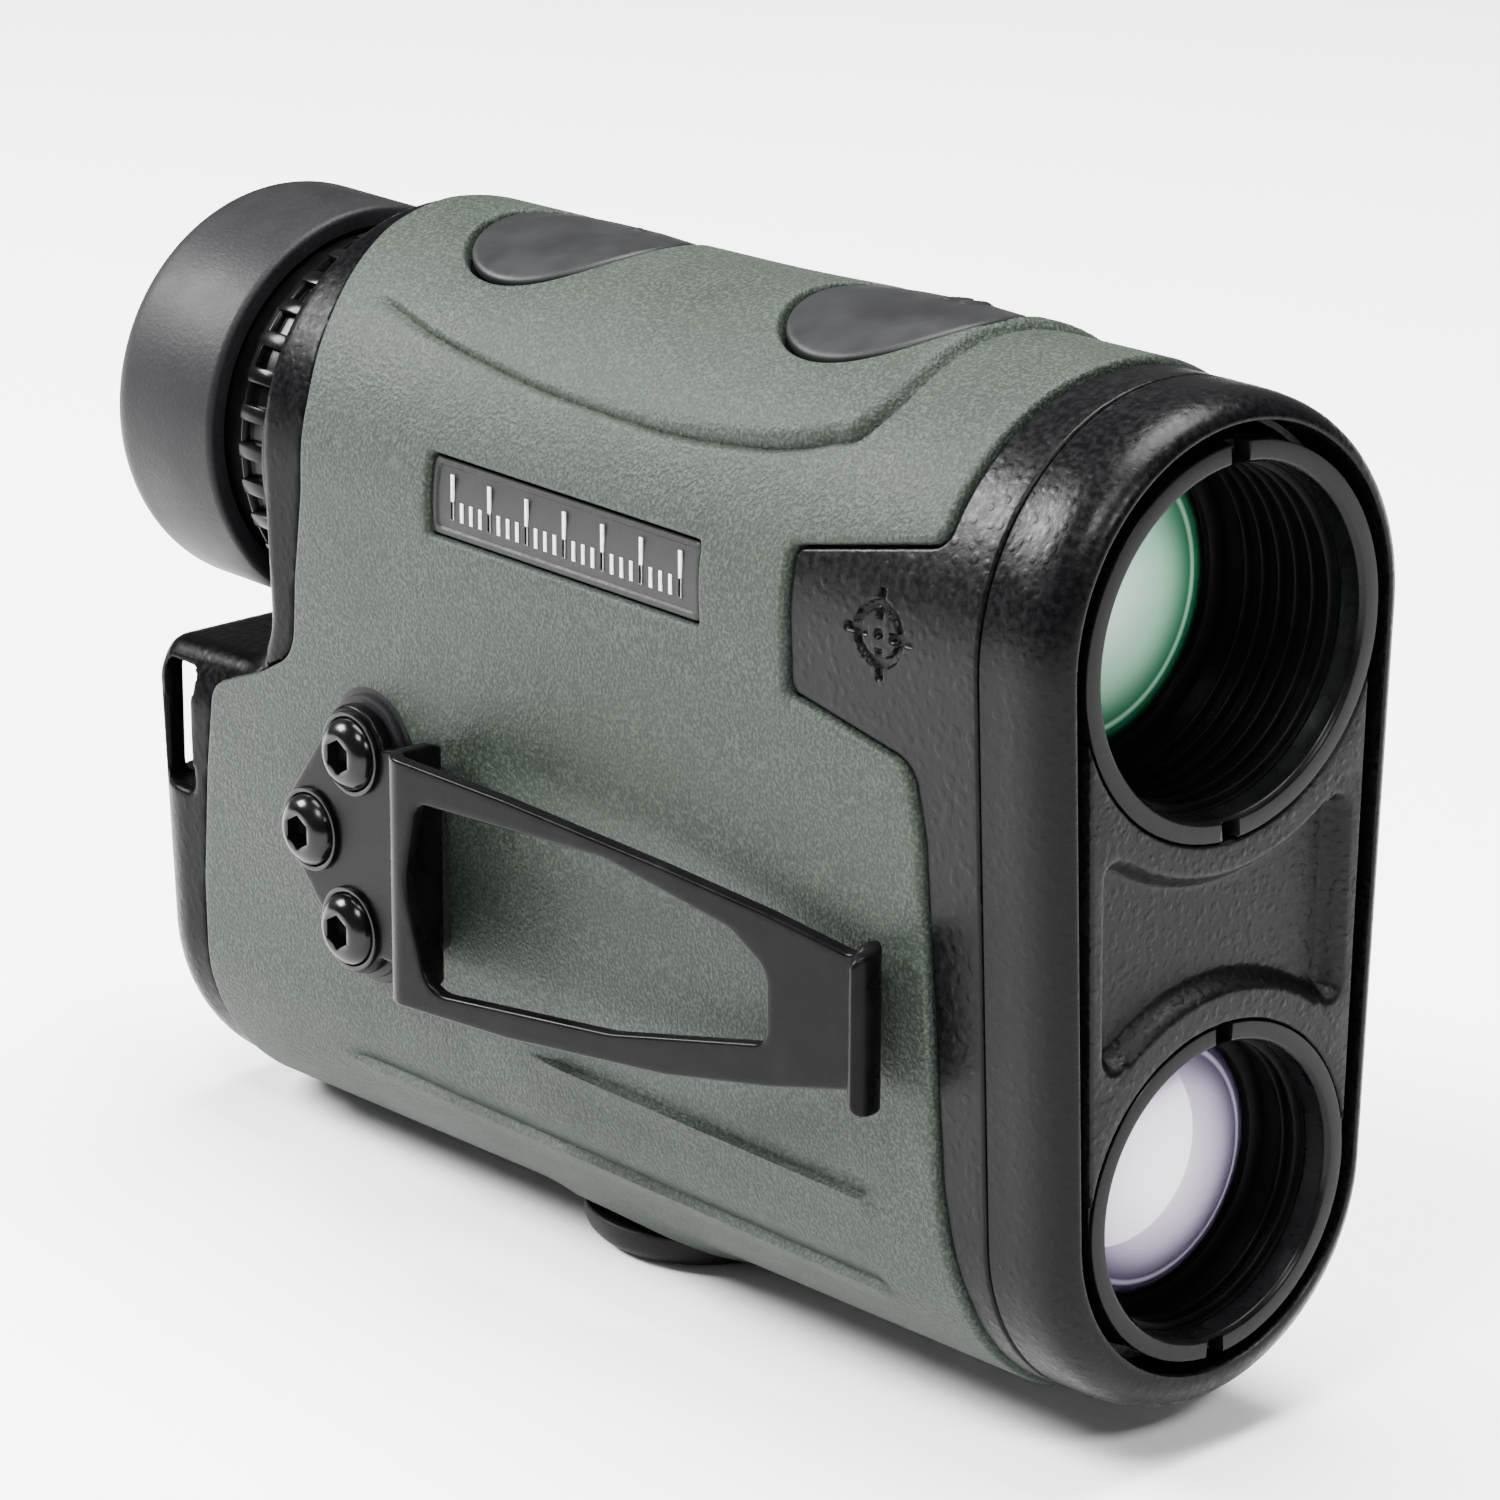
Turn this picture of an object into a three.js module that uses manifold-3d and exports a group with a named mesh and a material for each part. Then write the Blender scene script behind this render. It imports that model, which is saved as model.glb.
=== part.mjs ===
// Laser rangefinder, a hand-held monocular with a belt clip, built as an assembly. Units: millimetres.
// Modelling frame: X forward along the line of sight, Y to the user's left, Z up. Its origin is the
// point where the viewing axis crosses the front plate. The whole group is then moved so that the
// finished object's own origin is the bottom centre of its bounding box.
import * as THREE from 'three';
import { mergeVertices } from 'three/addons/utils/BufferGeometryUtils.js';
import Module from 'manifold-3d';

const wasm = await Module();
wasm.setup();

// ---------------------------------------------------------------- driving dimensions
const gap = 0.3;                  // between touching pieces
const skin = 0.2;                 // by which a piece stays under the surface it is cut from
const far = 80;                   // half size of a cutter that has to pass everything

const body = {
  topRadius: 18,                  // armour, round the viewing optics
  bottomRadius: 16.2,             // armour, round the receiver
  bottomDrop: 42.2,               // between the centres of those two radii
  droop: 1.3,                     // degrees that the body falls towards the rear
  armourThick: 1.6,
  wall: 1.9,                      // main housing
  shoulderX: -88.3,               // rear face of the tall part
  rearX: -106.8,                  // rear face of the battery block
  stepZ: -20.3,                   // top of the battery block, under the eyecup
  stepSlope: 1.2,
  stepFillet: 5.5,
  rearTopRadius: 3.5,
  rearBottomRadius: 7,
  rearCornerRadius: 5,
  rearInset: 0.5,                 // rear cover and front housing lie this much under the armour
  rearWall: 2.1,
};

const armour = {
  frontX: -12.2, shoulderX: body.shoulderX + 3.3, rearX: body.rearX + 9.6, stepZ: body.stepZ - 1.6,
  seatInset: 1.9,
};
const front = { seamX: -7.5, rimX: 0.4, rimInset: 0.5, chamferX: 2, chamfer: 2, shellRear: -4 };
front.rimDrop = body.bottomDrop - 1;
front.rimBottomRadius = body.bottomRadius - 0.9;
const wing = {
  topZ: 7.6, noseX: -13.5, noseZ: 7.2, rearX: -26.8, rearTopZ: 4.7, rearLowZ: -6.6, corner: 0.5,
  chinX: -14.6, chinZ: -9.3, neckX: -13, neckZ: -11.6, lowZ: -30,
};
const rim = {
  topRadius: body.topRadius - 2.8, topLift: 0.4, bottomRadius: body.bottomRadius - 2.6,
  bottomDrop: body.bottomDrop - 1.3, webX: -4.3, web: 1.8, webLap: 0.4,
};

const objective = {
  drop: 0, ringRadius: rim.topRadius - 0.9, ringDepth: 2.2, tubeRear: -28, wall: 0.7, collarX: -7.2,
  ribs: 5, ribPitch: 1.45, ribHeight: 0.7, lensX: -13.4, notch: 1.4,
};
objective.bore = objective.ringRadius - 1.7;
objective.lensRadius = objective.bore - gap;
const receiver = {
  drop: body.bottomDrop - 1.5, ringRadius: rim.bottomRadius - 1, ringDepth: 2.2, tubeRear: -20, wall: 0.9,
  collarX: -7.2, ribs: 2, ribPitch: 1.3, ribHeight: 0.55, lensX: -5.3, notch: 1.4, funnel: 7,
  funnelBore: 4.4, funnelOuter: 5.4,
};
receiver.bore = receiver.ringRadius - 1.6;
receiver.lensRadius = receiver.bore - gap;
const plate = {
  thick: 3.6, halfTop: rim.topRadius - 1.7, halfBottom: rim.bottomRadius - 1, recess: 1.7, recessHalf: 12,
  topZ: -4.6, bottomZ: -receiver.drop + 4.4, land: 2.3, taper: 0.3,
};

const eyepiece = {
  drop: 3.1, lipRadius: body.topRadius - 1.6, lip: 1, barrelRadius: 13.2, barrelWall: 1.4,
  flangeRadius: body.topRadius - 4.3,
  flangeDeep: 1.5, barrelRear: body.shoulderX - 14.7, ringFront: body.shoulderX - 1.4,
  ridges: 32, ridgeDepth: 0.8, ridgeWidth: 1.3, sleeveWall: 1, cellWall: 1.2, cellLip: 1.4,
};
eyepiece.ringRear = eyepiece.ringFront - 3.8;
eyepiece.ringRadius = eyepiece.barrelRadius + 2.4;
const eyecup = {
  front: eyepiece.ringRear - 2.5, rear: eyepiece.ringRear - 16.5, radius: eyepiece.barrelRadius + 3.2,
  mouth: eyepiece.barrelRadius - 1.6, corner: 3, mouthLip: 1.2,
};

const measureX = -69.6;
const menuX = -33.6;
const pod = { proud: 0.6, frontX: menuX + 10.6, rearX: measureX - 12.4, flankZ: 9, endZ: 15.5 };
const button = {
  radius: 8.9, nose: 1.1, noseHalf: 2.4, clearance: 0.35, travel: 0.7, crown: 0.3, stem: 2.6,
  stemClearance: 0.6,
};
const board = { top: 9.6, thick: 1.2, half: 6, switchHigh: 1, ends: 8.4 };

const badge = { rearX: -66.5, frontX: -36, lowZ: -3.6, highZ: 2.6, sunk: 0.55 };

const boss = {
  x: -55.5, radius: 9.5, foot: body.bottomDrop + body.bottomRadius + 2.8, insert: 5, thread: 3.175,
  threadDeep: 9,
};

const battery = {
  radius: 7.8, length: 27, drop: body.bottomDrop - 0.5, rear: body.rearX + 4.2, sleeveWall: 1, clearance: 0.3,
  nippleRadius: 3.2, nipple: 0.9,
};
const cap = {
  radius: battery.radius + 2.1, thick: 3.4, sunk: 0.3, edge: 0.6, slotWide: 2, slotDeep: 1.2, slotLong: 0.68,
  sealRear: body.rearX + 1.4, sealWide: 1.2, sealDeep: 1, contactRadius: 4.5,
};

const lanyard = {
  rearX: body.rearX + 2.6, frontX: body.rearX + 7.3, highZ: body.stepZ - 2.5, lowZ: body.stepZ - 12.7,
  deep: 8.9, bar: 3.8, wall: 1.4,
};

const clip = {
  thick: 1.2, padThick: 1, bendX: -64, armY: 6.1, tipX: -17, tipY: 2.3, tipRoll: 1.6,
  midZ: -0.69 * body.bottomDrop, rearHalf: 9.75, tipHalf: 5, tipTilt: 0.8, screwHead: 2.85, screwHeadHigh: 1.7,
  screwShank: 1.5, shankLong: 7, hex: 1, windowRearX: -62.3, windowFrontX: -26, windowRearHalf: 7.5,
  lipHalf: 6.1, padRadius: 5.3, baseRadius: 3.9, wallRise: 8,
};
const clipScrews = [
  [clip.bendX - 10.5, clip.midZ + 6.5],
  [clip.bendX - 15.8, clip.midZ - 1],
  [clip.bendX - 11, clip.midZ - 7.9],
];

const prism = { frontX: -38, half: 8, wall: 1.2, lowZ: -14, highZ: 8, clearance: 0.4 };
const laser = { radius: 3, collar: 1, length: 14, x: prism.frontX - 8, topZ: -14.4 };
const detector = { canRadius: 3, canHigh: 2.4, boardHalf: 8, boardThick: 1.2 };

// ---------------------------------------------------------------- finishes
function finish(color, roughness, metalness = 0) {
  return new THREE.MeshStandardMaterial({ color, roughness, metalness });
}
const finishes = {
  armour: finish(0x5c6a5c, 0.85),
  black: finish(0x1b1c1f, 0.45),
  rubber: finish(0x3a3b3e, 0.85),
  innerBlack: finish(0x101012, 0.6),
  steel: finish(0x151517, 0.35, 0.6),
  glassGreen: finish(0x4fae74, 0.05),
  glassViolet: finish(0x9c8fb0, 0.05),
  glass: finish(0xdfe8ea, 0.05),
  brass: finish(0xb08d4a, 0.35, 0.9),
  board: finish(0x1f5a34, 0.6),
  metal: finish(0xb8babd, 0.3, 1),
  cell: finish(0x8d9094, 0.4),
  badge: finish(0x55585b, 0.6),
};

// ---------------------------------------------------------------- solids
function signedVolume(points, index) {
  const [a, b, c] = [new THREE.Vector3(), new THREE.Vector3(), new THREE.Vector3()];
  let sum = 0;
  for (let i = 0; i < index.length; i += 3) {
    a.fromArray(points, index[i] * 3);
    b.fromArray(points, index[i + 1] * 3);
    c.fromArray(points, index[i + 2] * 3);
    sum += a.dot(b.cross(c));
  }
  return sum;
}

// A closed geometry as a solid that can be joined and cut, with its faces pointing out.
function solid(geometry) {
  const bare = geometry.clone();
  bare.deleteAttribute('normal');
  bare.deleteAttribute('uv');
  const merged = mergeVertices(bare, 1e-4);
  const points = new Float32Array(merged.attributes.position.array);
  const corners = [];
  for (let i = 0; i < merged.index.count; i += 3) {
    const [a, b, c] = merged.index.array.slice(i, i + 3);
    if (a !== b && b !== c && a !== c) corners.push(a, b, c);
  }
  if (signedVolume(points, corners) < 0) corners.reverse();
  return new wasm.Manifold(new wasm.Mesh({
    numProp: 3, vertProperties: points, triVerts: new Uint32Array(corners),
  }));
}

const xAxis = new THREE.Vector3(1, 0, 0);
const yAxis = new THREE.Vector3(0, 1, 0);
const zAxis = new THREE.Vector3(0, 0, 1);
const shapeFacesX = new THREE.Matrix4().makeBasis(yAxis, zAxis, xAxis);
const shapeFacesY = new THREE.Matrix4().makeBasis(xAxis, zAxis, yAxis.clone().negate());

function extruded(shape, depth, segments) {
  return new THREE.ExtrudeGeometry(shape, { depth, bevelEnabled: false, curveSegments: segments });
}

// A shape drawn in (y, z), filling from rear to front along X.
function alongX(shape, rear, forward, segments = 12) {
  return solid(extruded(shape, forward - rear, segments).applyMatrix4(shapeFacesX).translate(rear, 0, 0));
}

// A shape drawn in (x, z), filling from right (low y) to left (high y).
function alongY(shape, right, left, segments = 8) {
  return solid(extruded(shape, left - right, segments).applyMatrix4(shapeFacesY).translate(0, left, 0));
}

// A shape drawn in (x, y), filling upwards.
function alongZ(shape, low, high, segments = 12) {
  return solid(extruded(shape, high - low, segments).translate(0, 0, low));
}

// A closed profile of [radius, x] points turned round an axis along X, at the given height.
function turned(profile, axisZ, segments = 28) {
  const points = profile.map(([radius, x]) => new THREE.Vector2(radius, x));
  const lathe = new THREE.LatheGeometry([...points, points[0]], segments);
  return solid(lathe.rotateZ(-Math.PI / 2).translate(0, 0, axisZ));
}

// The same round a vertical axis, from [radius, z] points.
function turnedUp(profile, x, segments = 28) {
  const points = profile.map(([radius, z]) => new THREE.Vector2(radius, z));
  const lathe = new THREE.LatheGeometry([...points, points[0]], segments);
  return solid(lathe.rotateX(Math.PI / 2).translate(x, 0, 0));
}

function tube(outer, inner, rear, forward, axisZ, segments = 32) {
  return turned([[inner, rear], [outer, rear], [outer, forward], [inner, forward]], axisZ, segments);
}

function disc(radius, rear, forward, axisZ, segments = 32) {
  return turned([[0, rear], [radius, rear], [radius, forward], [0, forward]], axisZ, segments);
}

function box(x0, x1, y0, y1, z0, z1) {
  const geometry = new THREE.BoxGeometry(x1 - x0, y1 - y0, z1 - z0);
  return solid(geometry.translate((x0 + x1) / 2, (y0 + y1) / 2, (z0 + z1) / 2));
}

function polygon(points) {
  return new THREE.Shape(points.map(([x, y]) => new THREE.Vector2(x, y)));
}

// ---------------------------------------------------------------- outlines
// Two round ends joined by their tangents, in (y, z).
function egg(topRadius, topZ, bottomRadius, bottomZ) {
  const lean = Math.asin((bottomRadius - topRadius) / (topZ - bottomZ));
  const shape = new THREE.Shape();
  shape.absarc(0, topZ, topRadius, lean, Math.PI - lean, false);
  shape.absarc(0, bottomZ, bottomRadius, Math.PI - lean, 2 * Math.PI + lean, false);
  return shape;
}

// The body section, drooping towards the rear and longer than anything cut from it.
function bodyPrism(inset) {
  const shape = egg(body.topRadius - inset, 0, body.bottomRadius - inset, -body.bottomDrop);
  const geometry = extruded(shape, 3 * far, 8).applyMatrix4(shapeFacesX).translate(-2.5 * far, 0, 0);
  return solid(geometry.rotateY(-THREE.MathUtils.degToRad(body.droop)));
}

function bodyTopAt(x, inset = 0) {
  return body.topRadius - inset + x * Math.tan(THREE.MathUtils.degToRad(body.droop));
}

// Side view: the tall part ends at the shoulder and a lower block runs on to the rear.
function sideView(frontX, shoulderX, stepZ, rearX, inset = 0) {
  const shoulder = shoulderX + inset;
  const step = stepZ - inset;
  const rear = rearX + inset;
  const topRadius = Math.max(body.rearTopRadius - inset, 1);
  const bottomRadius = Math.max(body.rearBottomRadius - inset, 1);
  const fillet = body.stepFillet + inset;
  const floor = bodyTopAt(rear) - body.topRadius - body.bottomDrop - body.bottomRadius + inset;
  const shape = new THREE.Shape();
  shape.moveTo(frontX, far);
  shape.lineTo(shoulder, far);
  shape.lineTo(shoulder, step + fillet);
  shape.absarc(shoulder - fillet, step + fillet, fillet, 0, -Math.PI / 2, true);
  shape.lineTo(rear + topRadius, step - body.stepSlope);
  shape.absarc(rear + topRadius, step - body.stepSlope - topRadius, topRadius, Math.PI / 2, Math.PI, false);
  shape.absarc(rear + bottomRadius, floor + bottomRadius, bottomRadius, Math.PI, 1.5 * Math.PI, false);
  shape.lineTo(rear + bottomRadius, -far);
  shape.lineTo(frontX, -far);
  return alongY(shape, -far, far, 5);
}

// Plan view: rounded vertical corners at the rear.
function planView(rearX, halfWidth, radius) {
  const shape = new THREE.Shape();
  shape.moveTo(far, -halfWidth - 8);
  shape.lineTo(far, halfWidth + 8);
  shape.lineTo(rearX + radius, halfWidth + 8);
  shape.lineTo(rearX + radius, halfWidth);
  shape.absarc(rearX + radius, halfWidth - radius, radius, Math.PI / 2, Math.PI, false);
  shape.absarc(rearX + radius, radius - halfWidth, radius, Math.PI, 1.5 * Math.PI, false);
  shape.lineTo(rearX + radius, -halfWidth - 8);
  return alongZ(shape, -2 * far, far, 5);
}

const flank = (body.topRadius + body.bottomRadius) / 2;

function armourBlock(inset) {
  return bodyPrism(inset).intersect(
    sideView(armour.frontX, armour.shoulderX, armour.stepZ, armour.rearX));
}

function wholeBlock(inset) {
  const rounded = planView(body.rearX + inset, flank - inset, body.rearCornerRadius);
  const view = sideView(armour.frontX, body.shoulderX, body.stepZ, body.rearX, inset);
  return bodyPrism(inset).intersect(view).intersect(rounded);
}

// The raised top that carries the buttons, in (x, z).
function podView() {
  const shape = new THREE.Shape();
  const { frontX, rearX, flankZ, endZ } = pod;
  const middleX = (frontX + rearX) / 2;
  shape.moveTo(frontX, far);
  shape.lineTo(frontX, endZ);
  shape.bezierCurveTo(frontX - 0.5, endZ - 3, frontX - 4, flankZ + 0.6, menuX - 4.4, flankZ);
  shape.bezierCurveTo(middleX + 4.5, flankZ - 0.6, middleX - 9.5, flankZ, measureX - 2.4, flankZ + 1.4);
  shape.bezierCurveTo(rearX + 5, flankZ + 2.2, rearX + 1, endZ - 3, rearX, endZ);
  shape.lineTo(rearX, far);
  return alongY(shape, -far, far, 6);
}

function podBlock(inset) {
  return bodyPrism(inset - pod.proud).intersect(podView());
}

// Round button with a slight nose towards the front, in (x, y).
function buttonOutline(centreX, grow) {
  const radius = button.radius + grow;
  const openTurn = 0.35 * Math.PI;
  const lead = centreX + radius * Math.cos(openTurn);
  const side = radius * Math.sin(openTurn);
  const cheekX = centreX + radius * 0.93;
  const noseX = centreX + radius + button.nose;
  const shape = new THREE.Shape();
  shape.absarc(centreX, 0, radius, openTurn, 2 * Math.PI - openTurn, false);
  shape.quadraticCurveTo(cheekX, -side * 0.78, noseX - 1.2, -button.noseHalf);
  shape.quadraticCurveTo(noseX, 0, noseX - 1.2, button.noseHalf);
  shape.quadraticCurveTo(cheekX, side * 0.78, lead, side);
  return shape;
}

// ---------------------------------------------------------------- assembly
const model = new THREE.Group();
model.name = 'laser_rangefinder';

function add(name, shape, material) {
  const { numProp, vertProperties, triVerts } = shape.getMesh();
  const positions = [];
  for (let i = 0; i < vertProperties.length; i += numProp) {
    positions.push(vertProperties[i], vertProperties[i + 1], vertProperties[i + 2]);
  }
  const geometry = new THREE.BufferGeometry();
  geometry.setAttribute('position', new THREE.Float32BufferAttribute(positions, 3));
  geometry.setIndex([...triVerts]);
  geometry.computeVertexNormals();
  const mesh = new THREE.Mesh(geometry, material);
  mesh.name = name;
  model.add(mesh);
  return mesh;
}

// ---- casing
// The patch of the front housing that reaches back over each flank, in (x, z).
function wingView(grow) {
  return polygon([
    [front.seamX - 3, wing.topZ + grow],
    [wing.noseX, wing.noseZ + grow],
    [wing.rearX + wing.corner, wing.rearTopZ + grow],
    [wing.rearX - grow, wing.rearTopZ - wing.corner],
    [wing.rearX - grow, wing.rearLowZ + 2 * wing.corner],
    [wing.rearX + wing.corner, wing.rearLowZ - grow],
    [wing.chinX - grow, wing.chinZ - grow],
    [wing.neckX - grow, wing.neckZ - grow],
    [armour.frontX - grow, wing.lowZ],
    [front.seamX - 3, wing.lowZ],
  ]);
}

// A view in (x, z) as a cutter through one flank: side is 1 on the left and -1 on the right.
function throughFlank(view, side) {
  return side > 0 ? alongY(view, 5, far) : alongY(view, -far, -5);
}

function flankBand(inset, thick) {
  return bodyPrism(inset).subtract(bodyPrism(inset + thick));
}

function badgePocket(side, grow) {
  const shape = polygon([
    [badge.rearX - grow, badge.lowZ - grow], [badge.frontX + grow, badge.lowZ - grow],
    [badge.frontX + grow, badge.highZ + grow], [badge.rearX - grow, badge.highZ + grow],
  ]);
  return throughFlank(shape, side);
}

// Three lobes round the clip's screws with a straight front edge, in (x, z).
function screwLobes(radius, frontX, openTurn) {
  const [top, middle, low] = clipScrews;
  const shape = new THREE.Shape();
  shape.absarc(...top, radius, openTurn, 0.83 * Math.PI, false);
  shape.absarc(...middle, radius, 0.83 * Math.PI, 1.17 * Math.PI, false);
  shape.absarc(...low, radius, 1.17 * Math.PI, 2 * Math.PI - openTurn, false);
  shape.lineTo(frontX, low[1]);
  shape.lineTo(frontX, top[1]);
  return shape;
}

function cutScrewHoles(piece) {
  let result = piece;
  for (const [x, z] of clipScrews) {
    const hole = new THREE.Shape().absarc(x, z, clip.screwShank + gap, 0, 2 * Math.PI, false);
    result = result.subtract(alongY(hole, -far, -5, 8));
  }
  return result;
}

const clipPadView = screwLobes(clip.padRadius, clip.bendX - 2, 0.1 * Math.PI);
const clipPadHole = alongY(clipPadView, -far, -5, 6);
const floorZ = -body.bottomDrop;  // cutters through the underside reach up to here
const upFromBelow = (radius, segments) => turnedUp(
  [[0, -far], [radius, -far], [radius, floorZ], [0, floorZ]], boss.x, segments);
const buttonHole = (x) => alongZ(buttonOutline(x, button.clearance), 0, far, 12);

let armourSkin = armourBlock(0).add(podBlock(0).intersect(armourBlock(-5)));
armourSkin = armourSkin.subtract(bodyPrism(body.armourThick));
for (const side of [-1, 1]) {
  armourSkin = armourSkin.subtract(throughFlank(wingView(gap), side)).subtract(badgePocket(side, gap));
}
armourSkin = armourSkin.subtract(buttonHole(measureX)).subtract(buttonHole(menuX));
armourSkin = armourSkin.subtract(upFromBelow(boss.radius, 40)).subtract(clipPadHole);
add('rubber_armor', armourSkin, finishes.armour);

let housing = armourBlock(armour.seatInset).subtract(bodyPrism(armour.seatInset + body.wall));
const stemBore = button.stem + button.stemClearance;
const stemHole = (x) => turnedUp([[0, 5], [stemBore, 5], [stemBore, far], [0, far]], x, 24);
housing = housing.subtract(stemHole(measureX)).subtract(stemHole(menuX));
housing = housing.subtract(upFromBelow(boss.insert + gap, 32));
add('main_housing', cutScrewHoles(housing), finishes.innerBlack);

const frontInset = body.rearInset - skin;
const wingBand = flankBand(frontInset, armour.seatInset - 2 * gap);
let frontHousing = flankBand(frontInset, armour.seatInset + body.wall - frontInset);
frontHousing = frontHousing.intersect(box(armour.frontX + gap, front.seamX - gap / 2, -far, far, -far, far));
for (const side of [-1, 1]) {
  frontHousing = frontHousing.add(wingBand.intersect(throughFlank(wingView(0), side)));
}
add('front_housing', frontHousing, finishes.black);

// Front rim: rounded outer edge, then an opening that frames the plate.
const rimOutline = egg(body.topRadius - front.rimInset, 0, front.rimBottomRadius, -front.rimDrop);
const rimShell = new THREE.ExtrudeGeometry(rimOutline, {
  depth: front.rimX - front.chamferX - front.seamX - front.shellRear,
  bevelEnabled: true, bevelThickness: front.chamferX, bevelSize: front.chamfer, bevelOffset: -front.chamfer,
  bevelSegments: 3, curveSegments: 8,
});
const rimRear = front.seamX + gap / 2;
let bezel = solid(rimShell.applyMatrix4(shapeFacesX).translate(front.seamX + front.shellRear, 0, 0));
bezel = bezel.intersect(box(rimRear, far, -far, far, -far, far));
bezel = bezel.add(bodyPrism(body.rearInset - skin / 2).intersect(
  box(rimRear, front.shellRear, -far, far, -far, far)));
const rimEgg = (grow) => egg(rim.topRadius + grow, rim.topLift, rim.bottomRadius + grow, -rim.bottomDrop);
bezel = bezel.subtract(alongX(rimEgg(0), -far, far, 8));
bezel = bezel.add(alongX(rimEgg(rim.webLap), rim.webX - rim.web, rim.webX, 8));
bezel = bezel.subtract(disc(objective.ringRadius + gap, -far, far, 0));
bezel = bezel.subtract(disc(receiver.ringRadius + gap, -far, far, -receiver.drop));
add('front_bezel', bezel, finishes.black);

// Plate between the two optics, with a shallow waisted recess.
function plateView(halfTop, halfBottom) {
  return polygon([
    [-halfTop, plate.topZ], [-halfBottom, plate.bottomZ], [halfBottom, plate.bottomZ], [halfTop, plate.topZ],
  ]);
}
let platePiece = alongX(plateView(plate.halfTop, plate.halfBottom), -plate.thick, 0);
platePiece = platePiece.subtract(disc(objective.ringRadius + gap, -far, far, 0, 36));
platePiece = platePiece.subtract(disc(receiver.ringRadius + gap, -far, far, -receiver.drop, 36));
let plateRecess = alongX(plateView(plate.recessHalf, plate.recessHalf - plate.taper), -plate.recess, far);
plateRecess = plateRecess.subtract(disc(objective.ringRadius + plate.land, -far, far, 0, 36));
plateRecess = plateRecess.subtract(disc(receiver.ringRadius + plate.land, -far, far, -receiver.drop, 36));
add('front_plate', platePiece.subtract(plateRecess), finishes.black);

// Rear cover: tapered shoulder round the eyepiece and the battery block below it.
const eyeZ = -eyepiece.drop;
const coverFront = armour.shoulderX - gap;
const shoulderTaper = turned([
  [0, -2 * far], [eyepiece.lipRadius, -2 * far], [eyepiece.lipRadius, body.shoulderX - skin],
  [eyepiece.lipRadius + 0.5, body.shoulderX], [eyepiece.lipRadius + 1.6, body.shoulderX + 1.2],
  [eyepiece.lipRadius + 2.6, coverFront], [far, coverFront], [far, coverFront + 10], [0, coverFront + 10],
], eyeZ);
const upperTrim = box(-far * 2, armour.shoulderX, -far, far, -10, far).subtract(shoulderTaper);
const lipDisc = disc(eyepiece.lipRadius, body.shoulderX - eyepiece.lip, body.shoulderX + 2, eyeZ);
let cover = wholeBlock(body.rearInset).subtract(upperTrim).add(lipDisc);
cover = cover.subtract(sideView(armour.frontX, coverFront, armour.stepZ + gap, armour.rearX - gap));
const coverInner = wholeBlock(body.rearInset + body.rearWall);
cover = cover.subtract(coverInner.intersect(box(-far * 2, 0, -far, far, -far, armour.stepZ + 1)));
cover = cover.subtract(disc(eyepiece.barrelRadius + gap, -far * 2, 0, eyeZ));
// The lanyard bar: a slot from the side meets a slot from the rear, in a lining of their own.
const barY = -lanyard.deep - lanyard.bar;
const lanyardSlot = (wall, mouth) => box(
  lanyard.rearX, lanyard.frontX + wall, -far, -lanyard.deep + wall, lanyard.lowZ - wall, lanyard.highZ + wall,
).add(box(
  -far * 2, lanyard.rearX + 0.1, barY - mouth, -lanyard.deep + wall, lanyard.lowZ - wall, lanyard.highZ + wall));
cover = cover.add(lanyardSlot(lanyard.wall, 3).intersect(wholeBlock(body.rearInset + skin)));
cover = cover.subtract(lanyardSlot(0, 0.7));
const capRear = body.rearX + cap.sunk;
const capFront = body.rearX + cap.thick;
cover = cover.subtract(disc(cap.radius + gap, -far * 2, capFront + gap, -battery.drop));
add('rear_cover', cover, finishes.black);

// ---- viewing objective and receiver
function ribbedTube(optic, rear, tail = []) {
  const outer = optic.ringRadius - gap;
  const start = -optic.ringDepth - gap;
  const thin = optic.bore + optic.wall;
  const profile = [
    [optic.bore, rear], ...tail, [thin, rear], [thin, optic.collarX], [outer, optic.collarX], [outer, start],
    [optic.bore, start],
  ];
  let x = start;
  for (let i = 0; i < optic.ribs; i += 1) {
    profile.push([optic.bore, x - optic.ribPitch * 0.4]);
    profile.push([optic.bore - optic.ribHeight, x - optic.ribPitch * 0.75]);
    profile.push([optic.bore, x - optic.ribPitch]);
    x -= optic.ribPitch;
  }
  return turned(profile, -optic.drop, 26);
}

function retainingRing(optic) {
  let ring = tube(optic.ringRadius, optic.bore, -optic.ringDepth, 0, -optic.drop, 36);
  for (const side of [-1, 1]) {
    const middle = side * (optic.ringRadius + optic.bore) / 2 - optic.drop;
    ring = ring.subtract(box(-1.2, 5, -optic.notch / 2, optic.notch / 2, middle - 2, middle + 2));
  }
  return ring;
}

// Two convex faces round a rim; x is the front face's crown.
function lens(radius, crownX, thick, frontSag, rearSag, axisZ) {
  const steps = 3;
  const profile = [];
  for (let i = 0; i <= steps; i += 1) {
    const r = (radius * i) / steps;
    profile.push([r, crownX - frontSag * (i / steps) ** 2]);
  }
  for (let i = steps; i >= 0; i -= 1) {
    const r = (radius * i) / steps;
    profile.push([r, crownX - thick + rearSag * (i / steps) ** 2]);
  }
  return turned(profile, axisZ, 28);
}

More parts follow.
